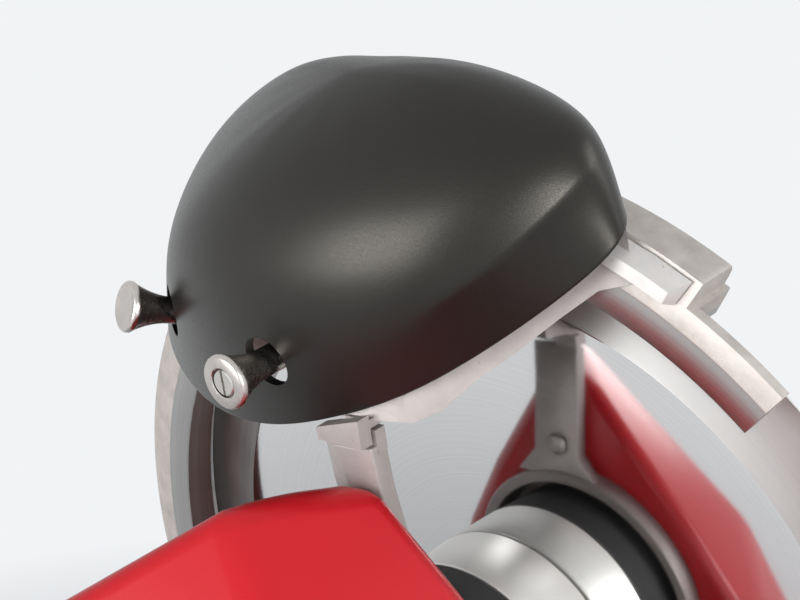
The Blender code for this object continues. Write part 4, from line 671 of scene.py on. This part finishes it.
def ring_guard():
    """The ring with its rounded back edge, open towards the operator, on its pedestal."""
    clear = BLADE_RADIUS + RING_GAP
    step, corner = 0.0012, 0.002
    profile = (
        (RING_LIP + step / 2, RING_BACK),
        (RING_OUTER - RING_CHAMFER_WIDTH, RING_BACK),
        (RING_OUTER, RING_BACK - RING_CHAMFER),
        (RING_OUTER, RING_FRONT + 0.0015),
        (RING_OUTER - corner, RING_FRONT),
        (clear, RING_FRONT),
        (clear, 0.0),
        (RING_LIP + step, step),
        (RING_LIP, RING_BACK - FIT),
    )
    piece = turned("ring_guard_shape", profile, HEAD, looks["ring"], RING_STEPS)
    reach = RING_OUTER * 1.6
    mouth = ring_mouth(reach)
    pedestal = ring_pedestal(clear)
    flange = RING_BACK - RING_FLANGE_THICKNESS
    outside = ring_sector("barrel_end", 0, RING_FLANGE, reach, RING_BACK + BEYOND)
    below = ring_sector("flange_foot", 0.7, RING_LIP - 0.003, reach, flange)
    cut(piece, mouth, outside, below)
    join(piece, pedestal)
    notch = ear_shape("ear_notch", FIT, RING_FRONT - 0.005, -BLADE_THICKNESS)
    cut(piece, notch)
    bake(piece)
    soften(piece, 0.0007, 3, 30)
    stands_for(bake(piece, 30), "ring_guard")


def blade_cover():
    """The disc on the slice side, with a raised rim and middle and its ear."""
    face = -BLADE_THICKNESS - FIT
    front = face - COVER_DISC_THICKNESS
    dip = 0.0006
    band, middle = COVER_DISC_RADIUS - 0.012, COVER_DISC_RADIUS - 0.061
    profile = (
        (0, face),
        (COVER_DISC_RADIUS - 0.0005, face),
        (COVER_DISC_RADIUS, face - dip),
        (COVER_DISC_RADIUS - 0.004, front + 0.0004),
        (band, front),
        (band - 0.001, front + dip),
        (middle + 0.001, front + dip),
        (middle, front),
        (0, front),
    )
    piece = turned("blade_cover_shape", profile, HEAD, looks["disc"], DISC_STEPS)
    join(piece, ear_shape("ear", 0.0, front + 0.0008, face))
    soften(piece, EDGE, 2, 40)
    stands_for(bake(piece), "blade_cover")


def arm_section(y, right, front, ceiling=math.inf):
    """The arm's outline at a height y, kept under a ceiling in z."""
    left, back = right - ARM_WIDTH, front + ARM_THICKNESS
    points = (
        (right, front),
        (left, front),
        (left, back - 0.001),
        (left + ARM_WIDTH * 0.35, back + ARM_BULGE),
        (left + ARM_WIDTH * 0.70, back + ARM_BULGE * 0.8),
        (right, back),
    )
    return [(x, y, min(z, ceiling)) for x, z in points]


def blade_frame():
    """The ring round the hub with its bearing seats, and the arm up to the bracket."""
    web_end = FRAME_RING_END - BEARING_WIDTH - FIT
    web = web_end - FRAME_WEB
    seat = BEARING_RADIUS + FIT
    passage = SPINDLE_RADIUS + 0.003
    profile = (
        (FRAME_RING_OUTER, FRAME_RING_END),
        (FRAME_RING_OUTER, FRAME_RING_FACE + 0.0006),
        (FRAME_RING_OUTER - 0.0006, FRAME_RING_FACE),
        (FRAME_RING_INNER + EDGE, FRAME_RING_FACE),
        (FRAME_RING_INNER, FRAME_RING_FACE + EDGE),
        (FRAME_RING_INNER, web),
        (passage, web),
        (passage, web_end),
        (seat, web_end),
        (seat, FRAME_RING_END),
    )
    piece = turned("blade_frame_shape", profile, HEAD, looks["cast"], HUB_STEPS)
    root_y = 0.0375
    root_points = (
        (0.011, 0.0355),
        (-0.020, 0.0355),
        (-0.020, 0.0405),
        (-0.010, 0.0412),
        (0.002, 0.0412),
        (0.011, 0.0405),
    )
    root = [(x, root_y, z) for x, z in root_points]
    low = arm_section(0.046, 0.0035, 0.0368, HOUSING_FACE + 0.0012)
    middle = arm_section(0.070, 0.0046, 0.0412, HOUSING_FACE + 0.0044)
    high = arm_section(ARM_TOP, 0.0052, 0.0424)
    arm = loft("arm", [root, low, middle, high], HEAD)
    soften(arm, 0.0006, 3, 20)
    tab = box("arm_tab", (-0.0023, ARM_TOP - 0.002, 0.0425), (0.0053, ARM_TAB_TOP, 0.0458), HEAD)
    join(piece, arm, tab)
    stands_for(bake(piece, 30), "blade_frame")


# Housings


def below_base_top(name):
    reach = 0.25
    return box(name, (-reach, -reach, 0), (reach, reach, BASE_TOP + FIT), PLAN)


def motor_housing():
    """The faceted hump: a hull round listed points, cut off in the base and made hollow."""
    face = HOUSING_FACE
    low = -0.170
    points = (
        (0.096, low, face),
        (0.064, -0.006, face),
        (0.0385, 0.033, face),
        (0.005, 0.074, face + 0.005),
        (-0.014, 0.066, face + 0.004),
        (-0.037, 0.031, face),
        (-0.056, -0.001, face),
        (-0.090, low, face),
        (-0.014, 0.079, 0.078),
        (0.035, 0.014, 0.105),
        (-0.067, 0.048, 0.138),
        (0.030, -0.060, 0.171),
        (-0.070, -0.020, 0.192),
        (0.088, low, 0.152),
        (0.040, low, 0.204),
        (-0.080, low, 0.216),
        (-0.102, low, 0.120),
    )
    made = bmesh.new()
    hull = bmesh.ops.convex_hull(made, input=[made.verts.new(point) for point in points])
    spare = {item for item in hull["geom_interior"] if isinstance(item, bmesh.types.BMVert)}
    bmesh.ops.delete(made, geom=list(spare), context="VERTS")
    join_flats(made, 2)
    head_from_plan = HEAD.inverted() @ PLAN
    bmesh.ops.bisect_plane(
        made,
        geom=made.verts[:] + made.edges[:] + made.faces[:],
        plane_co=head_from_plan @ Vector((0, 0, BASE_TOP - 2 * WALL)),
        plane_no=head_from_plan.to_3x3() @ Vector((0, 0, 1)),
        clear_inner=True,
    )
    piece = from_bmesh("motor_housing_shape", made, HEAD, looks["red"])
    soften(piece, HOUSING_SOFTNESS, 10, 10)
    thicken(piece, WALL)
    start, end = (0, 0, face - 2 * BEYOND), (0, 0, face + 2 * BEYOND)
    hub_hole = cylinder("hub_hole", FRAME_RING_OUTER + FIT, start, end, HEAD, HUB_STEPS)
    cut(piece, hub_hole, below_base_top("under_housing"))
    stands_for(bake(piece, 40), "motor_housing")


def section_of(node, basis):
    """Half a turned node's section: its vertices in the basis, and the place of its axis."""
    source = nodes[node]
    made = bmesh.new()
    made.from_mesh(source.data)
    made.transform(basis.inverted() @ source.matrix_world)
    bmesh.ops.remove_doubles(made, verts=made.verts, dist=WELD_DISTANCE)
    lows = [min(vert.co[axis] for vert in made.verts) for axis in range(2)]
    highs = [max(vert.co[axis] for vert in made.verts) for axis in range(2)]
    middle = Vector(((lows[0] + highs[0]) / 2, (lows[1] + highs[1]) / 2, 0))
    found = bmesh.ops.bisect_plane(
        made,
        geom=made.verts[:] + made.edges[:] + made.faces[:],
        dist=PLANE_DISTANCE,
        plane_co=middle,
        plane_no=Vector((0, 1, 0)),
    )
    points, edges, places = [], [], {}
    for item in found["geom_cut"]:
        if not isinstance(item, bmesh.types.BMEdge):
            continue
        ends = [vert.co - middle for vert in item.verts]
        if min(end.x for end in ends) < -PLANE_DISTANCE:
            continue
        pair = []
        for end in ends:
            key = (round(end.x, 5), round(end.z, 5))
            if key not in places:
                places[key] = len(points)
                points.append((max(end.x, 0.0), 0.0, end.z))
            pair.append(places[key])
        if pair[0] != pair[1]:
            edges.append(tuple(sorted(pair)))
    made.free()
    return points, sorted(set(edges)), basis @ Matrix.Translation(middle)


def respun(node, basis, material, edge=EDGE):
    """A turned node again, with finer steps and rounded edges."""
    points, edges, where = section_of(node, basis)
    piece = spin(node + "_shape", points, edges, where, material, TURN_STEPS)
    made = bmesh.new()
    made.from_mesh(piece.data)
    bmesh.ops.recalc_face_normals(made, faces=made.faces)
    made.to_mesh(piece.data)
    made.free()
    soften(piece, edge, 2, 30)
    return bake(piece)


# Looks


class Nodes:
    """A node tree and short calls for its nodes."""

    def __init__(self, tree):
        self.tree = tree

    def feed(self, socket, value):
        """Link an output to a socket, or set the socket to a number or a colour."""
        if isinstance(value, bpy.types.NodeSocket):
            self.tree.links.new(value, socket)
        elif isinstance(value, tuple):
            socket.default_value = (*value, 1.0)
        else:
            socket.default_value = value

    def put(self, kind, inputs, **settings):
        """A new node with its settings made and its inputs fed."""
        node = self.tree.nodes.new(kind)
        for key, value in settings.items():
            setattr(node, key, value)
        for socket, value in inputs.items():
            self.feed(node.inputs[socket], value)
        return node

    def position(self, scale=(1, 1, 1)):
        """The piece's own coordinates, scaled, so a texture has a real size."""
        own = self.put("ShaderNodeTexCoord", {}).outputs["Object"]
        mapping = self.put("ShaderNodeMapping", {"Vector": own})
        mapping.inputs["Scale"].default_value = scale
        return mapping.outputs["Vector"]

    def parts(self, vector):
        return self.put("ShaderNodeSeparateXYZ", {0: vector}).outputs

    def around(self, scale_out, scale_along):
        """Coordinates for lines round the z axis, and the distance from that axis."""
        x, y, z = self.parts(self.position())
        square = self.math("ADD", self.math("MULTIPLY", x, x), self.math("MULTIPLY", y, y))
        out = self.math("SQRT", square)
        scaled = self.math("MULTIPLY", out, scale_out), self.math("MULTIPLY", z, scale_along)
        return self.put("ShaderNodeCombineXYZ", dict(enumerate(scaled))).outputs[0], out

    def noise(self, vector, scale, detail, roughness=0.5):
        """Cloudy noise with about this many spots to the metre."""
        inputs = {"Vector": vector, "Scale": scale, "Detail": detail, "Roughness": roughness}
        return self.put("ShaderNodeTexNoise", inputs).outputs["Fac"]

    def ramp(self, factor, *stops):
        """A colour ramp through two (position, colour) stops."""
        node = self.put("ShaderNodeValToRGB", {"Fac": factor})
        for element, (position, colour) in zip(node.color_ramp.elements, stops):
            element.position = position
            element.color = (*colour, 1.0)
        return node.outputs["Color"]

    def span(self, factor, low, high, low_to, high_to):
        """The factor, with its range from low to high carried to another range."""
        inputs = {"Value": factor, "From Min": low, "From Max": high, "To Min": low_to, "To Max": high_to}
        return self.put("ShaderNodeMapRange", inputs).outputs["Result"]

    def blend(self, factor, first, second):
        inputs = {"Factor": factor, 6: first, 7: second}
        return self.put("ShaderNodeMix", inputs, data_type="RGBA").outputs[2]

    def math(self, operation, *values):
        node = self.put("ShaderNodeMath", dict(enumerate(values)), operation=operation)
        return node.outputs[0]

    def bump(self, height, distance, strength):
        inputs = {"Height": height, "Distance": distance, "Strength": strength}
        return self.put("ShaderNodeBump", inputs).outputs["Normal"]

    def looking(self):
        """1 for what the camera sees straight, in a reflection or through glass, else 0."""
        paths = self.put("ShaderNodeLightPath", {}).outputs
        seen = paths["Is Camera Ray"]
        for ray in ("Is Glossy Ray", "Is Transmission Ray"):
            either = self.put("ShaderNodeMath", {0: seen, 1: paths[ray]}, use_clamp=True)
            seen = either.outputs[0]
        return seen


class Look(Nodes):
    """A material and short calls for its shader."""

    def __init__(self, name):
        self.material = bpy.data.materials.new(name)
        self.material.use_nodes = True
        super().__init__(self.material.node_tree)
        self.shader = self.tree.nodes["Principled BSDF"]

    def set(self, socket, value):
        self.feed(self.shader.inputs[socket], value)

    def finish(self, colour, roughness, normal=None):
        self.set("Base Color", colour)
        self.set("Roughness", roughness)
        if normal is not None:
            self.set("Normal", normal)
        return self.material


def black_coat():
    """Powder-coated cast cover: matt, finely grained, with a soft warm sheen."""
    made = Look("black_coat")
    where = made.position()
    grain = made.noise(where, 2200, 2.0)
    patch = made.noise(where, 22, 3.0)
    colour = made.ramp(patch, (0.30, (0.005, 0.0048, 0.0045)), (0.75, (0.008, 0.0076, 0.0070)))
    rough = made.span(grain, 0.3, 0.7, 0.30, 0.40)
    made.set("Specular IOR Level", 0.37)
    made.set("Specular Tint", (1.0, 0.95, 0.86))
    return made.finish(colour, rough, made.bump(grain, 0.00004, 0.4))


def red_paint():
    """Satin red lacquer with a faint orange peel."""
    made = Look("red_paint")
    where = made.position()
    peel = made.noise(where, 420, 2.0)
    patch = made.noise(where, 12, 2.0)
    colour = made.ramp(patch, (0.3, (0.40, 0.004, 0.009)), (0.8, (0.46, 0.006, 0.012)))
    rough = made.span(patch, 0.3, 0.8, 0.34, 0.40)
    made.set("Specular IOR Level", 0.35)
    made.set("Coat Weight", 0.06)
    made.set("Coat Roughness", 0.15)
    return made.finish(colour, rough, made.bump(peel, 0.00006, 0.3))


def cast(name, tint, rough=0.42, relief=0.00016, metallic=0.4):
    """Tumbled casting: soft lumps, fine grain and a few small dark pits."""
    made = Look(name)
    where = made.position()
    lump = made.noise(where, 170, 4.0, 0.6)
    grain = made.noise(where, 1400, 3.0, 0.7)
    pits = made.noise(where, 520, 2.0)
    dark = tuple(0.84 * c for c in tint)
    colour = made.ramp(lump, (0.25, dark), (0.75, tint))
    pit = made.span(pits, 0.22, 0.28, 0.0, 1.0)
    colour = made.blend(pit, tuple(0.6 * c for c in tint), colour)
    made.set("Metallic", metallic)
    roughness = made.span(grain, 0.25, 0.75, rough - 0.07, rough + 0.10)
    height = made.math("ADD", lump, made.math("MULTIPLY", grain, 0.35))
    return made.finish(colour, roughness, made.bump(height, relief, 0.5))


def ring_casting():
    """The ring guard: machined on its inner cone, rough as cast outside."""
    made = Look("ring_casting")
    where = made.position()
    lines, out = made.around(2600, 400)
    lump = made.noise(where, 190, 4.0, 0.6)
    grain = made.noise(where, 1400, 3.0, 0.7)
    turned_lines = made.noise(lines, 1.0, 2.0)
    cone = RING_FLANGE - 0.0055
    rough_zone = made.span(out, cone, cone + 0.0005, 0.0, 1.0)
    cast_colour = made.ramp(lump, (0.25, (0.36, 0.33, 0.305)), (0.75, (0.49, 0.455, 0.425)))
    cut_colour = made.ramp(turned_lines, (0.3, (0.34, 0.335, 0.325)), (0.7, (0.42, 0.415, 0.405)))
    colour = made.blend(rough_zone, cut_colour, cast_colour)
    metallic = made.math("SUBTRACT", 1.0, made.math("MULTIPLY", rough_zone, 0.5))
    made.set("Metallic", metallic)
    relief = made.math("ADD", lump, made.math("MULTIPLY", grain, 0.4))
    height = made.math("MULTIPLY", relief, rough_zone)
    smooth_part = made.span(lump, 0.3, 0.7, 0.28, 0.32)
    roughness = made.math("ADD", smooth_part, made.math("MULTIPLY", rough_zone, 0.23))
    return made.finish(colour, roughness, made.bump(height, 0.00018, 0.5))


def steel(name, tint=STEEL_TINT, rough=0.2, stretch=(1, 1, 1), scale=900, relief=0.00003):
    """Metal with fine lines: the stretch makes the lines long one way."""
    made = Look(name)
    lines = made.noise(made.position(scale=stretch), scale, 3.0, 0.6)
    cloud = made.noise(made.position(), 30, 2.0)
    colour = made.ramp(lines, (0.3, tuple(0.9 * c for c in tint)), (0.7, tint))
    fine = made.span(lines, 0.3, 0.7, rough - 0.04, rough + 0.05)
    roughness = made.math("ADD", fine, made.span(cloud, 0.3, 0.7, -0.02, 0.03))
    made.set("Metallic", 1.0)
    return made.finish(colour, roughness, made.bump(lines, relief, 0.25))


def lathed(name, tint, rough, spacing=3000, relief=0.00002, metallic=1.0):
    """Metal with fine lines round its own axis, as a lathe leaves them."""
    made = Look(name)
    vector, _ = made.around(spacing, spacing)
    lines = made.noise(vector, 1.0, 2.0, 0.6)
    cloud = made.noise(made.position(), 40, 2.0)
    colour = made.ramp(lines, (0.3, tuple(0.94 * c for c in tint)), (0.7, tint))
    fine = made.span(lines, 0.3, 0.7, rough - 0.03, rough + 0.04)
    roughness = made.math("ADD", fine, made.span(cloud, 0.3, 0.7, -0.02, 0.03))
    made.set("Metallic", metallic)
    return made.finish(colour, roughness, made.bump(lines, relief, 0.12))


def mirror_steel():
    """The blade's back: polished, with faint rings and a wiped haze."""
    made = Look("mirror_steel")
    vector, _ = made.around(1800, 300)
    lines = made.noise(vector, 1.0, 2.0, 0.6)
    haze = made.noise(made.position(), 9, 3.0, 0.6)
    colour = made.ramp(lines, (0.3, (0.62, 0.62, 0.62)), (0.7, (0.69, 0.69, 0.685)))
    fine = made.span(lines, 0.3, 0.7, 0.04, 0.07)
    roughness = made.math("ADD", fine, made.span(haze, 0.35, 0.7, 0.0, 0.03))
    made.set("Metallic", 1.0)
    return made.finish(colour, roughness, made.bump(lines, 0.000006, 0.2))


def plastic(name, colour, rough):
    """Moulded plastic or rubber: one faintly patchy colour with a fine grain."""
    made = Look(name)
    where = made.position()
    grain = made.noise(where, 1300, 2.0)
    patch = made.noise(where, 40, 2.0)
    shade = made.ramp(patch, (0.3, tuple(0.88 * c for c in colour)), (0.7, colour))
    roughness = made.span(grain, 0.3, 0.7, rough - 0.05, rough + 0.06)
    return made.finish(shade, roughness, made.bump(grain, 0.00005, 0.4))


def abrasive():
    made = Look("abrasive")
    grit = made.noise(made.position(), 2600, 3.0, 0.7)
    colour = made.ramp(grit, (0.35, (0.30, 0.27, 0.24)), (0.65, (0.62, 0.58, 0.52)))
    return made.finish(colour, 0.95, made.bump(grit, 0.0003, 0.9))


def clear_plastic():
    made = Look("clear_plastic")
    smear = made.noise(made.position(), 60, 3.0)
    made.set("Transmission Weight", 0.92)
    made.set("IOR", 1.49)
    return made.finish((0.93, 0.96, 0.97), made.span(smear, 0.3, 0.8, 0.03, 0.09))


def materials():
    return {
        "coat": black_coat(),
        "red": red_paint(),
        "cast": cast("cast_aluminium", CAST_TINT),
        "bright": cast("bright_casting", (0.37, 0.335, 0.322), 0.44, 0.00030),
        # Painted highlight: a lighter copy of the bracket's casting for its pad
        "pad": cast("pad_casting", (0.52, 0.50, 0.485), 0.50, 0.00022, 0.3),
        "ring": ring_casting(),
        "mirror": mirror_steel(),
        "hub": lathed("hub_steel", (0.86, 0.85, 0.82), 0.42, 3000, 0.00001, 0.7),
        "knob": steel("knob_steel", (0.58, 0.54, 0.51), 0.27, scale=240, relief=0.0000005),
        # Ground finish, with a darker tint that is painted shade for a dark reflection
        "bevel": lathed("ground_steel_painted_shade", (0.40, 0.40, 0.39), 0.40, 2200),
        "disc": lathed("cover_aluminium", BRIGHT_TINT, 0.30, 1500),
        "turned": lathed("turned_steel", (0.60, 0.58, 0.55), 0.27, 3000, 0.00001),
        "brushed": steel("brushed_steel", rough=0.28, stretch=(1, 1, 0.02)),
        "plated": steel("plated_steel", (0.52, 0.52, 0.51), 0.36),
        "satin": steel("satin_aluminium", BRIGHT_TINT, 0.32, (1, 0.02, 1)),
        "rubber": plastic("black_rubber", (0.022, 0.022, 0.022), 0.75),
        "black": plastic("black_plastic", (0.035, 0.035, 0.036), 0.45),
        "white": plastic("white_print", (0.80, 0.80, 0.78), 0.5),
        "green": plastic("green_plastic", (0.02, 0.25, 0.06), 0.35),
        "stop_red": plastic("red_plastic", (0.50, 0.012, 0.012), 0.35),
        "grit": abrasive(),
        "clear": clear_plastic(),
    }


# Small details


def text(name, words, size, raised, where, material, body):
    """Raised characters that stand on the where frame's z = 0."""
    curve = bpy.data.curves.new(name, "FONT")
    curve.body = words
    curve.size = size
    curve.extrude = raised / 2
    curve.align_x = "CENTER"
    curve.align_y = "CENTER"
    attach(link(name, mesh_of(name, curve, raised / 2), where, material), body)


def screw(name, where, radius, body):
    """A pan-head screw with a hexagon socket, on the where frame's z = 0."""
    profile = (
        (0, radius * 0.62),
        (radius * 0.62, radius * 0.60),
        (radius * 0.90, radius * 0.42),
        (radius, radius * 0.15),
        (radius, 0),
        (0, 0),
    )
    piece = turned(name, profile, where, looks["plated"], steps=40)
    start, end = (0, 0, radius * 0.2), (0, 0, radius)
    cut(piece, cylinder(name + "_socket", radius * 0.48, start, end, where, sides=6))
    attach(bake(piece), body)


# Frames with z along the turned pieces' axes
ALONG_X = Matrix(((0, 0, 1, 0), (1, 0, 0, 0), (0, 1, 0, 0), (0, 0, 0, 1)))
UPWARDS = Matrix(((1, 0, 0, 0), (0, 0, 1, 0), (0, -1, 0, 0), (0, 0, 0, 1)))


def turned_pieces():
    """Turned pieces that keep the CAD's section, with finer steps."""
    axial = {
        "blade_spindle": "plated",
        "front_bearing": "plated",
        "rear_bearing": "plated",
        "hub_collar": "rubber",
        "blade_pulley": "plated",
        "motor_pulley": "plated",
        "motor_body": "plated",
        "motor_shaft": "plated",
        "cover_tie_rod": "black",
        "gauge_rod": "brushed",
        "grip_rod": "brushed",
        "grip_bush": "black",
    }
    for node, look in axial.items():
        stands_for(respun(node, HEAD, looks[look]), node)
    for name, where, _ in holes():
        for part, look in (("wheel", "grit"), ("rod", "plated"), ("bush", "turned")):
            stands_for(respun(f"{name}_{part}", where, looks[look], 0.0002), f"{name}_{part}")
    for number in range(1, 5):
        node = f"foot_{number}"
        stands_for(respun(node, PLAN, looks["rubber"], 0.0010), node)
    upwards = HEAD @ UPWARDS
    for node in ("grip_knob", "tray_knob"):
        stands_for(respun(node, upwards, looks["black"], 0.0010), node)
    across = PLAN @ UPWARDS
    stands_for(respun("cable_gland", across, looks["rubber"], 0.0006), "cable_gland")
    for number in (1, 2):
        node = f"carriage_rod_{number}"
        stands_for(respun(node, across, looks["brushed"]), node)


def other_pieces():
    """Pieces whose CAD shape only needs its edges rounded."""
    edged = {
        "base_housing": ("red", 0.0),
        "bottom_plate": ("plated", 0.0002),
        "blade_nut": ("plated", 0.0004),
        "drive_belt": ("rubber", 0.0003),
        "drive_plate": ("cast", 0.0008),
        "gauge_plate": ("satin", 0.0006),
        "gauge_bracket": ("plated", 0.0006),
        "index_camshaft": ("plated", 0.0003),
        "carriage_slider": ("cast", 0.0006),
        "carriage_arm": ("cast", 0.0012),
        "product_tray": ("satin", 0.0006),
        "hand_guard": ("clear", 0.0003),
        "grip_arm": ("cast", 0.0008),
        "grip_plate": ("brushed", 0.0004),
        "slice_deflector": ("brushed", 0.0002),
        "switch_plate": ("black", 0.0003),
        "start_button": ("green", 0.0003),
        "stop_button": ("stop_red", 0.0003),
        "arm_bolt": ("cast", 0.0003),
    }
    for node, (look, width) in edged.items():
        refined(node, looks[look], width)


def facing_front(spot):
    """A frame on a face towards the machine's front, with z out of the face."""
    turn = Matrix(((1, 0, 0, 0), (0, 0, -1, 0), (0, 1, 0, 0), (0, 0, 0, 1)))
    return Matrix.Translation(spot) @ turn


def button_marks():
    size, raised = 0.010, 0.0003
    for node, sign, body in (("start_button", "I", "start"), ("stop_button", "O", "stop")):
        low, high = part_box(node)
        spot = ((low.x + high.x) / 2, low.y, (low.z + high.z) / 2)
        text(node + "_mark", sign, size, raised, facing_front(spot), looks["white"], body)


def plate_screws():
    low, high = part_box("switch_plate")
    inset, radius = 0.005, 0.0022
    for number in range(4):
        x = (low.x + inset, high.x - inset)[number % 2]
        z = (low.z + inset, high.z - inset)[number // 2]
        screw(f"switch_screw_{number + 1}", facing_front((x, low.y, z)), radius, "base")


def index_dial():
    """The dial with its grip grooves, slice numbers on the skirt and pointer on the face."""
    piece = respun("index_dial", HEAD @ ALONG_X, looks["black"], 0.0006)
    low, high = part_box("index_dial")
    face = facing_front(((low.x + high.x) / 2, low.y, (low.z + high.z) / 2))
    radius = (high.x - low.x) / 2
    skirt = low.y - high.y
    grooves, groove_out, groove_radius = 24, radius * 0.91, 0.0017
    groove_from, groove_to = skirt + 0.0046, 0.001
    for number in range(grooves):
        angle = math.tau * number / grooves
        x, y = groove_out * math.cos(angle), groove_out * math.sin(angle)
        ends = (x, y, groove_from), (x, y, groove_to)
        cut(piece, cylinder(f"groove_{number}", groove_radius, *ends, face, sides=16))
    stands_for(bake(piece, 30), "index_dial")
    numbers, number_out, height = 12, radius * 0.93, skirt + 0.0041
    size, raised = 0.0036, 0.0002
    for number in range(numbers):
        angle = math.tau * number / numbers
        spot = (number_out * math.sin(angle), number_out * math.cos(angle), height)
        where = face @ Matrix.Translation(spot) @ Matrix.Rotation(-angle, 4, "Z")
        text(f"dial_number_{number}", str(number), size, raised, where, looks["white"], "index")
    side, sunk, raised = 0.0006, 0.0002, 0.0003
    ends = (-side, radius * 0.45, -sunk), (side, radius * 0.78, raised)
    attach(box("dial_pointer", *ends, face, looks["white"]), "index")


def springs():
    for node in ("deburring_spring", "grinding_spring"):
        nodes[node].data.materials.clear()
        nodes[node].data.materials.append(looks["plated"])


# Camera, floor and light


def camera():
    data = bpy.data.cameras.new("camera")
    data.lens = CAMERA_LENS
    data.sensor_width = 36.0
    data.clip_start = 0.01
    data.clip_end = 500.0
    made = bpy.data.objects.new("camera", data)
    made.location = HEAD @ CAMERA_SPOT
    made.rotation_euler = (math.pi / 2 - CAMERA_PITCH, 0.0, CAMERA_AZIMUTH - math.pi / 2)
    bpy.context.scene.collection.objects.link(made)
    bpy.context.scene.camera = made


def paper():
    """Pale paper under the machine that turns into plain background far from it."""
    made = Look("paper")
    soft = made.noise(made.position(), 3, 2.0)
    colour = made.ramp(soft, (0.3, FLOOR_LOW), (0.7, FLOOR_HIGH))
    made.set("Specular IOR Level", 0.1)
    made.finish(colour, 0.9)
    _, out = made.around(1, 1)
    far = made.span(out, FLOOR_NEAR, FLOOR_FAR, 0.0, 1.0)
    plain = made.put("ShaderNodeEmission", {"Color": BACKGROUND}).outputs[0]
    share = made.math("MULTIPLY", far, made.looking())
    mix = made.put("ShaderNodeMixShader", {0: share, 1: made.shader.outputs[0], 2: plain})
    made.feed(made.tree.nodes["Material Output"].inputs["Surface"], mix.outputs[0])
    return made.material


def floor():
    sheet = bmesh.new()
    half = FLOOR_HALF
    corners = ((-half, -half, 0), (half, -half, 0), (half, half, 0), (-half, half, 0))
    sheet.faces.new([sheet.verts.new(corner) for corner in corners])
    from_bmesh("floor", sheet, Matrix.Identity(4), paper())


def world():
    """Soft light, stronger near the horizon, and the plain background where it is looked at."""
    made = bpy.data.worlds.new("studio")
    bpy.context.scene.world = made
    made.use_nodes = True
    shading = Nodes(made.node_tree)
    light = shading.tree.nodes["Background"]
    height = shading.parts(shading.put("ShaderNodeTexCoord", {}).outputs["Generated"])[2]
    strength = shading.span(height, WORLD_FADE_FROM, WORLD_FADE_TO, WORLD_LOW, WORLD_HIGH)
    shading.feed(light.inputs["Color"], WORLD_COLOUR)
    shading.feed(light.inputs["Strength"], strength)
    plain = shading.put("ShaderNodeBackground", {"Color": BACKGROUND, "Strength": 1.0})
    shares = {0: shading.looking(), 1: light.outputs[0], 2: plain.outputs[0]}
    mix = shading.put("ShaderNodeMixShader", shares)
    shading.feed(shading.tree.nodes["World Output"].inputs["Surface"], mix.outputs[0])


def lamps():
    for name, (spot, size, power) in LAMPS.items():
        data = bpy.data.lights.new(name, "AREA")
        data.shape = "RECTANGLE"
        data.size, data.size_y = size
        data.energy = power
        made = bpy.data.objects.new(name, data)
        made.location = spot
        away = Vector(LAMP_AIM) - Vector(spot)
        made.rotation_euler = away.to_track_quat("-Z", "Y").to_euler()
        bpy.context.scene.collection.objects.link(made)


guides = []
looks = materials()
camera()
floor()
world()
lamps()
sharpener()
blade()
blade_hub()
blade_frame()
ring_guard()
blade_cover()
motor_housing()
turned_pieces()
index_dial()
other_pieces()
springs()
button_marks()
plate_screws()
for guide in guides:
    bpy.data.objects.remove(guide, do_unlink=True)
bpy.context.scene.view_settings.view_transform = "Standard"
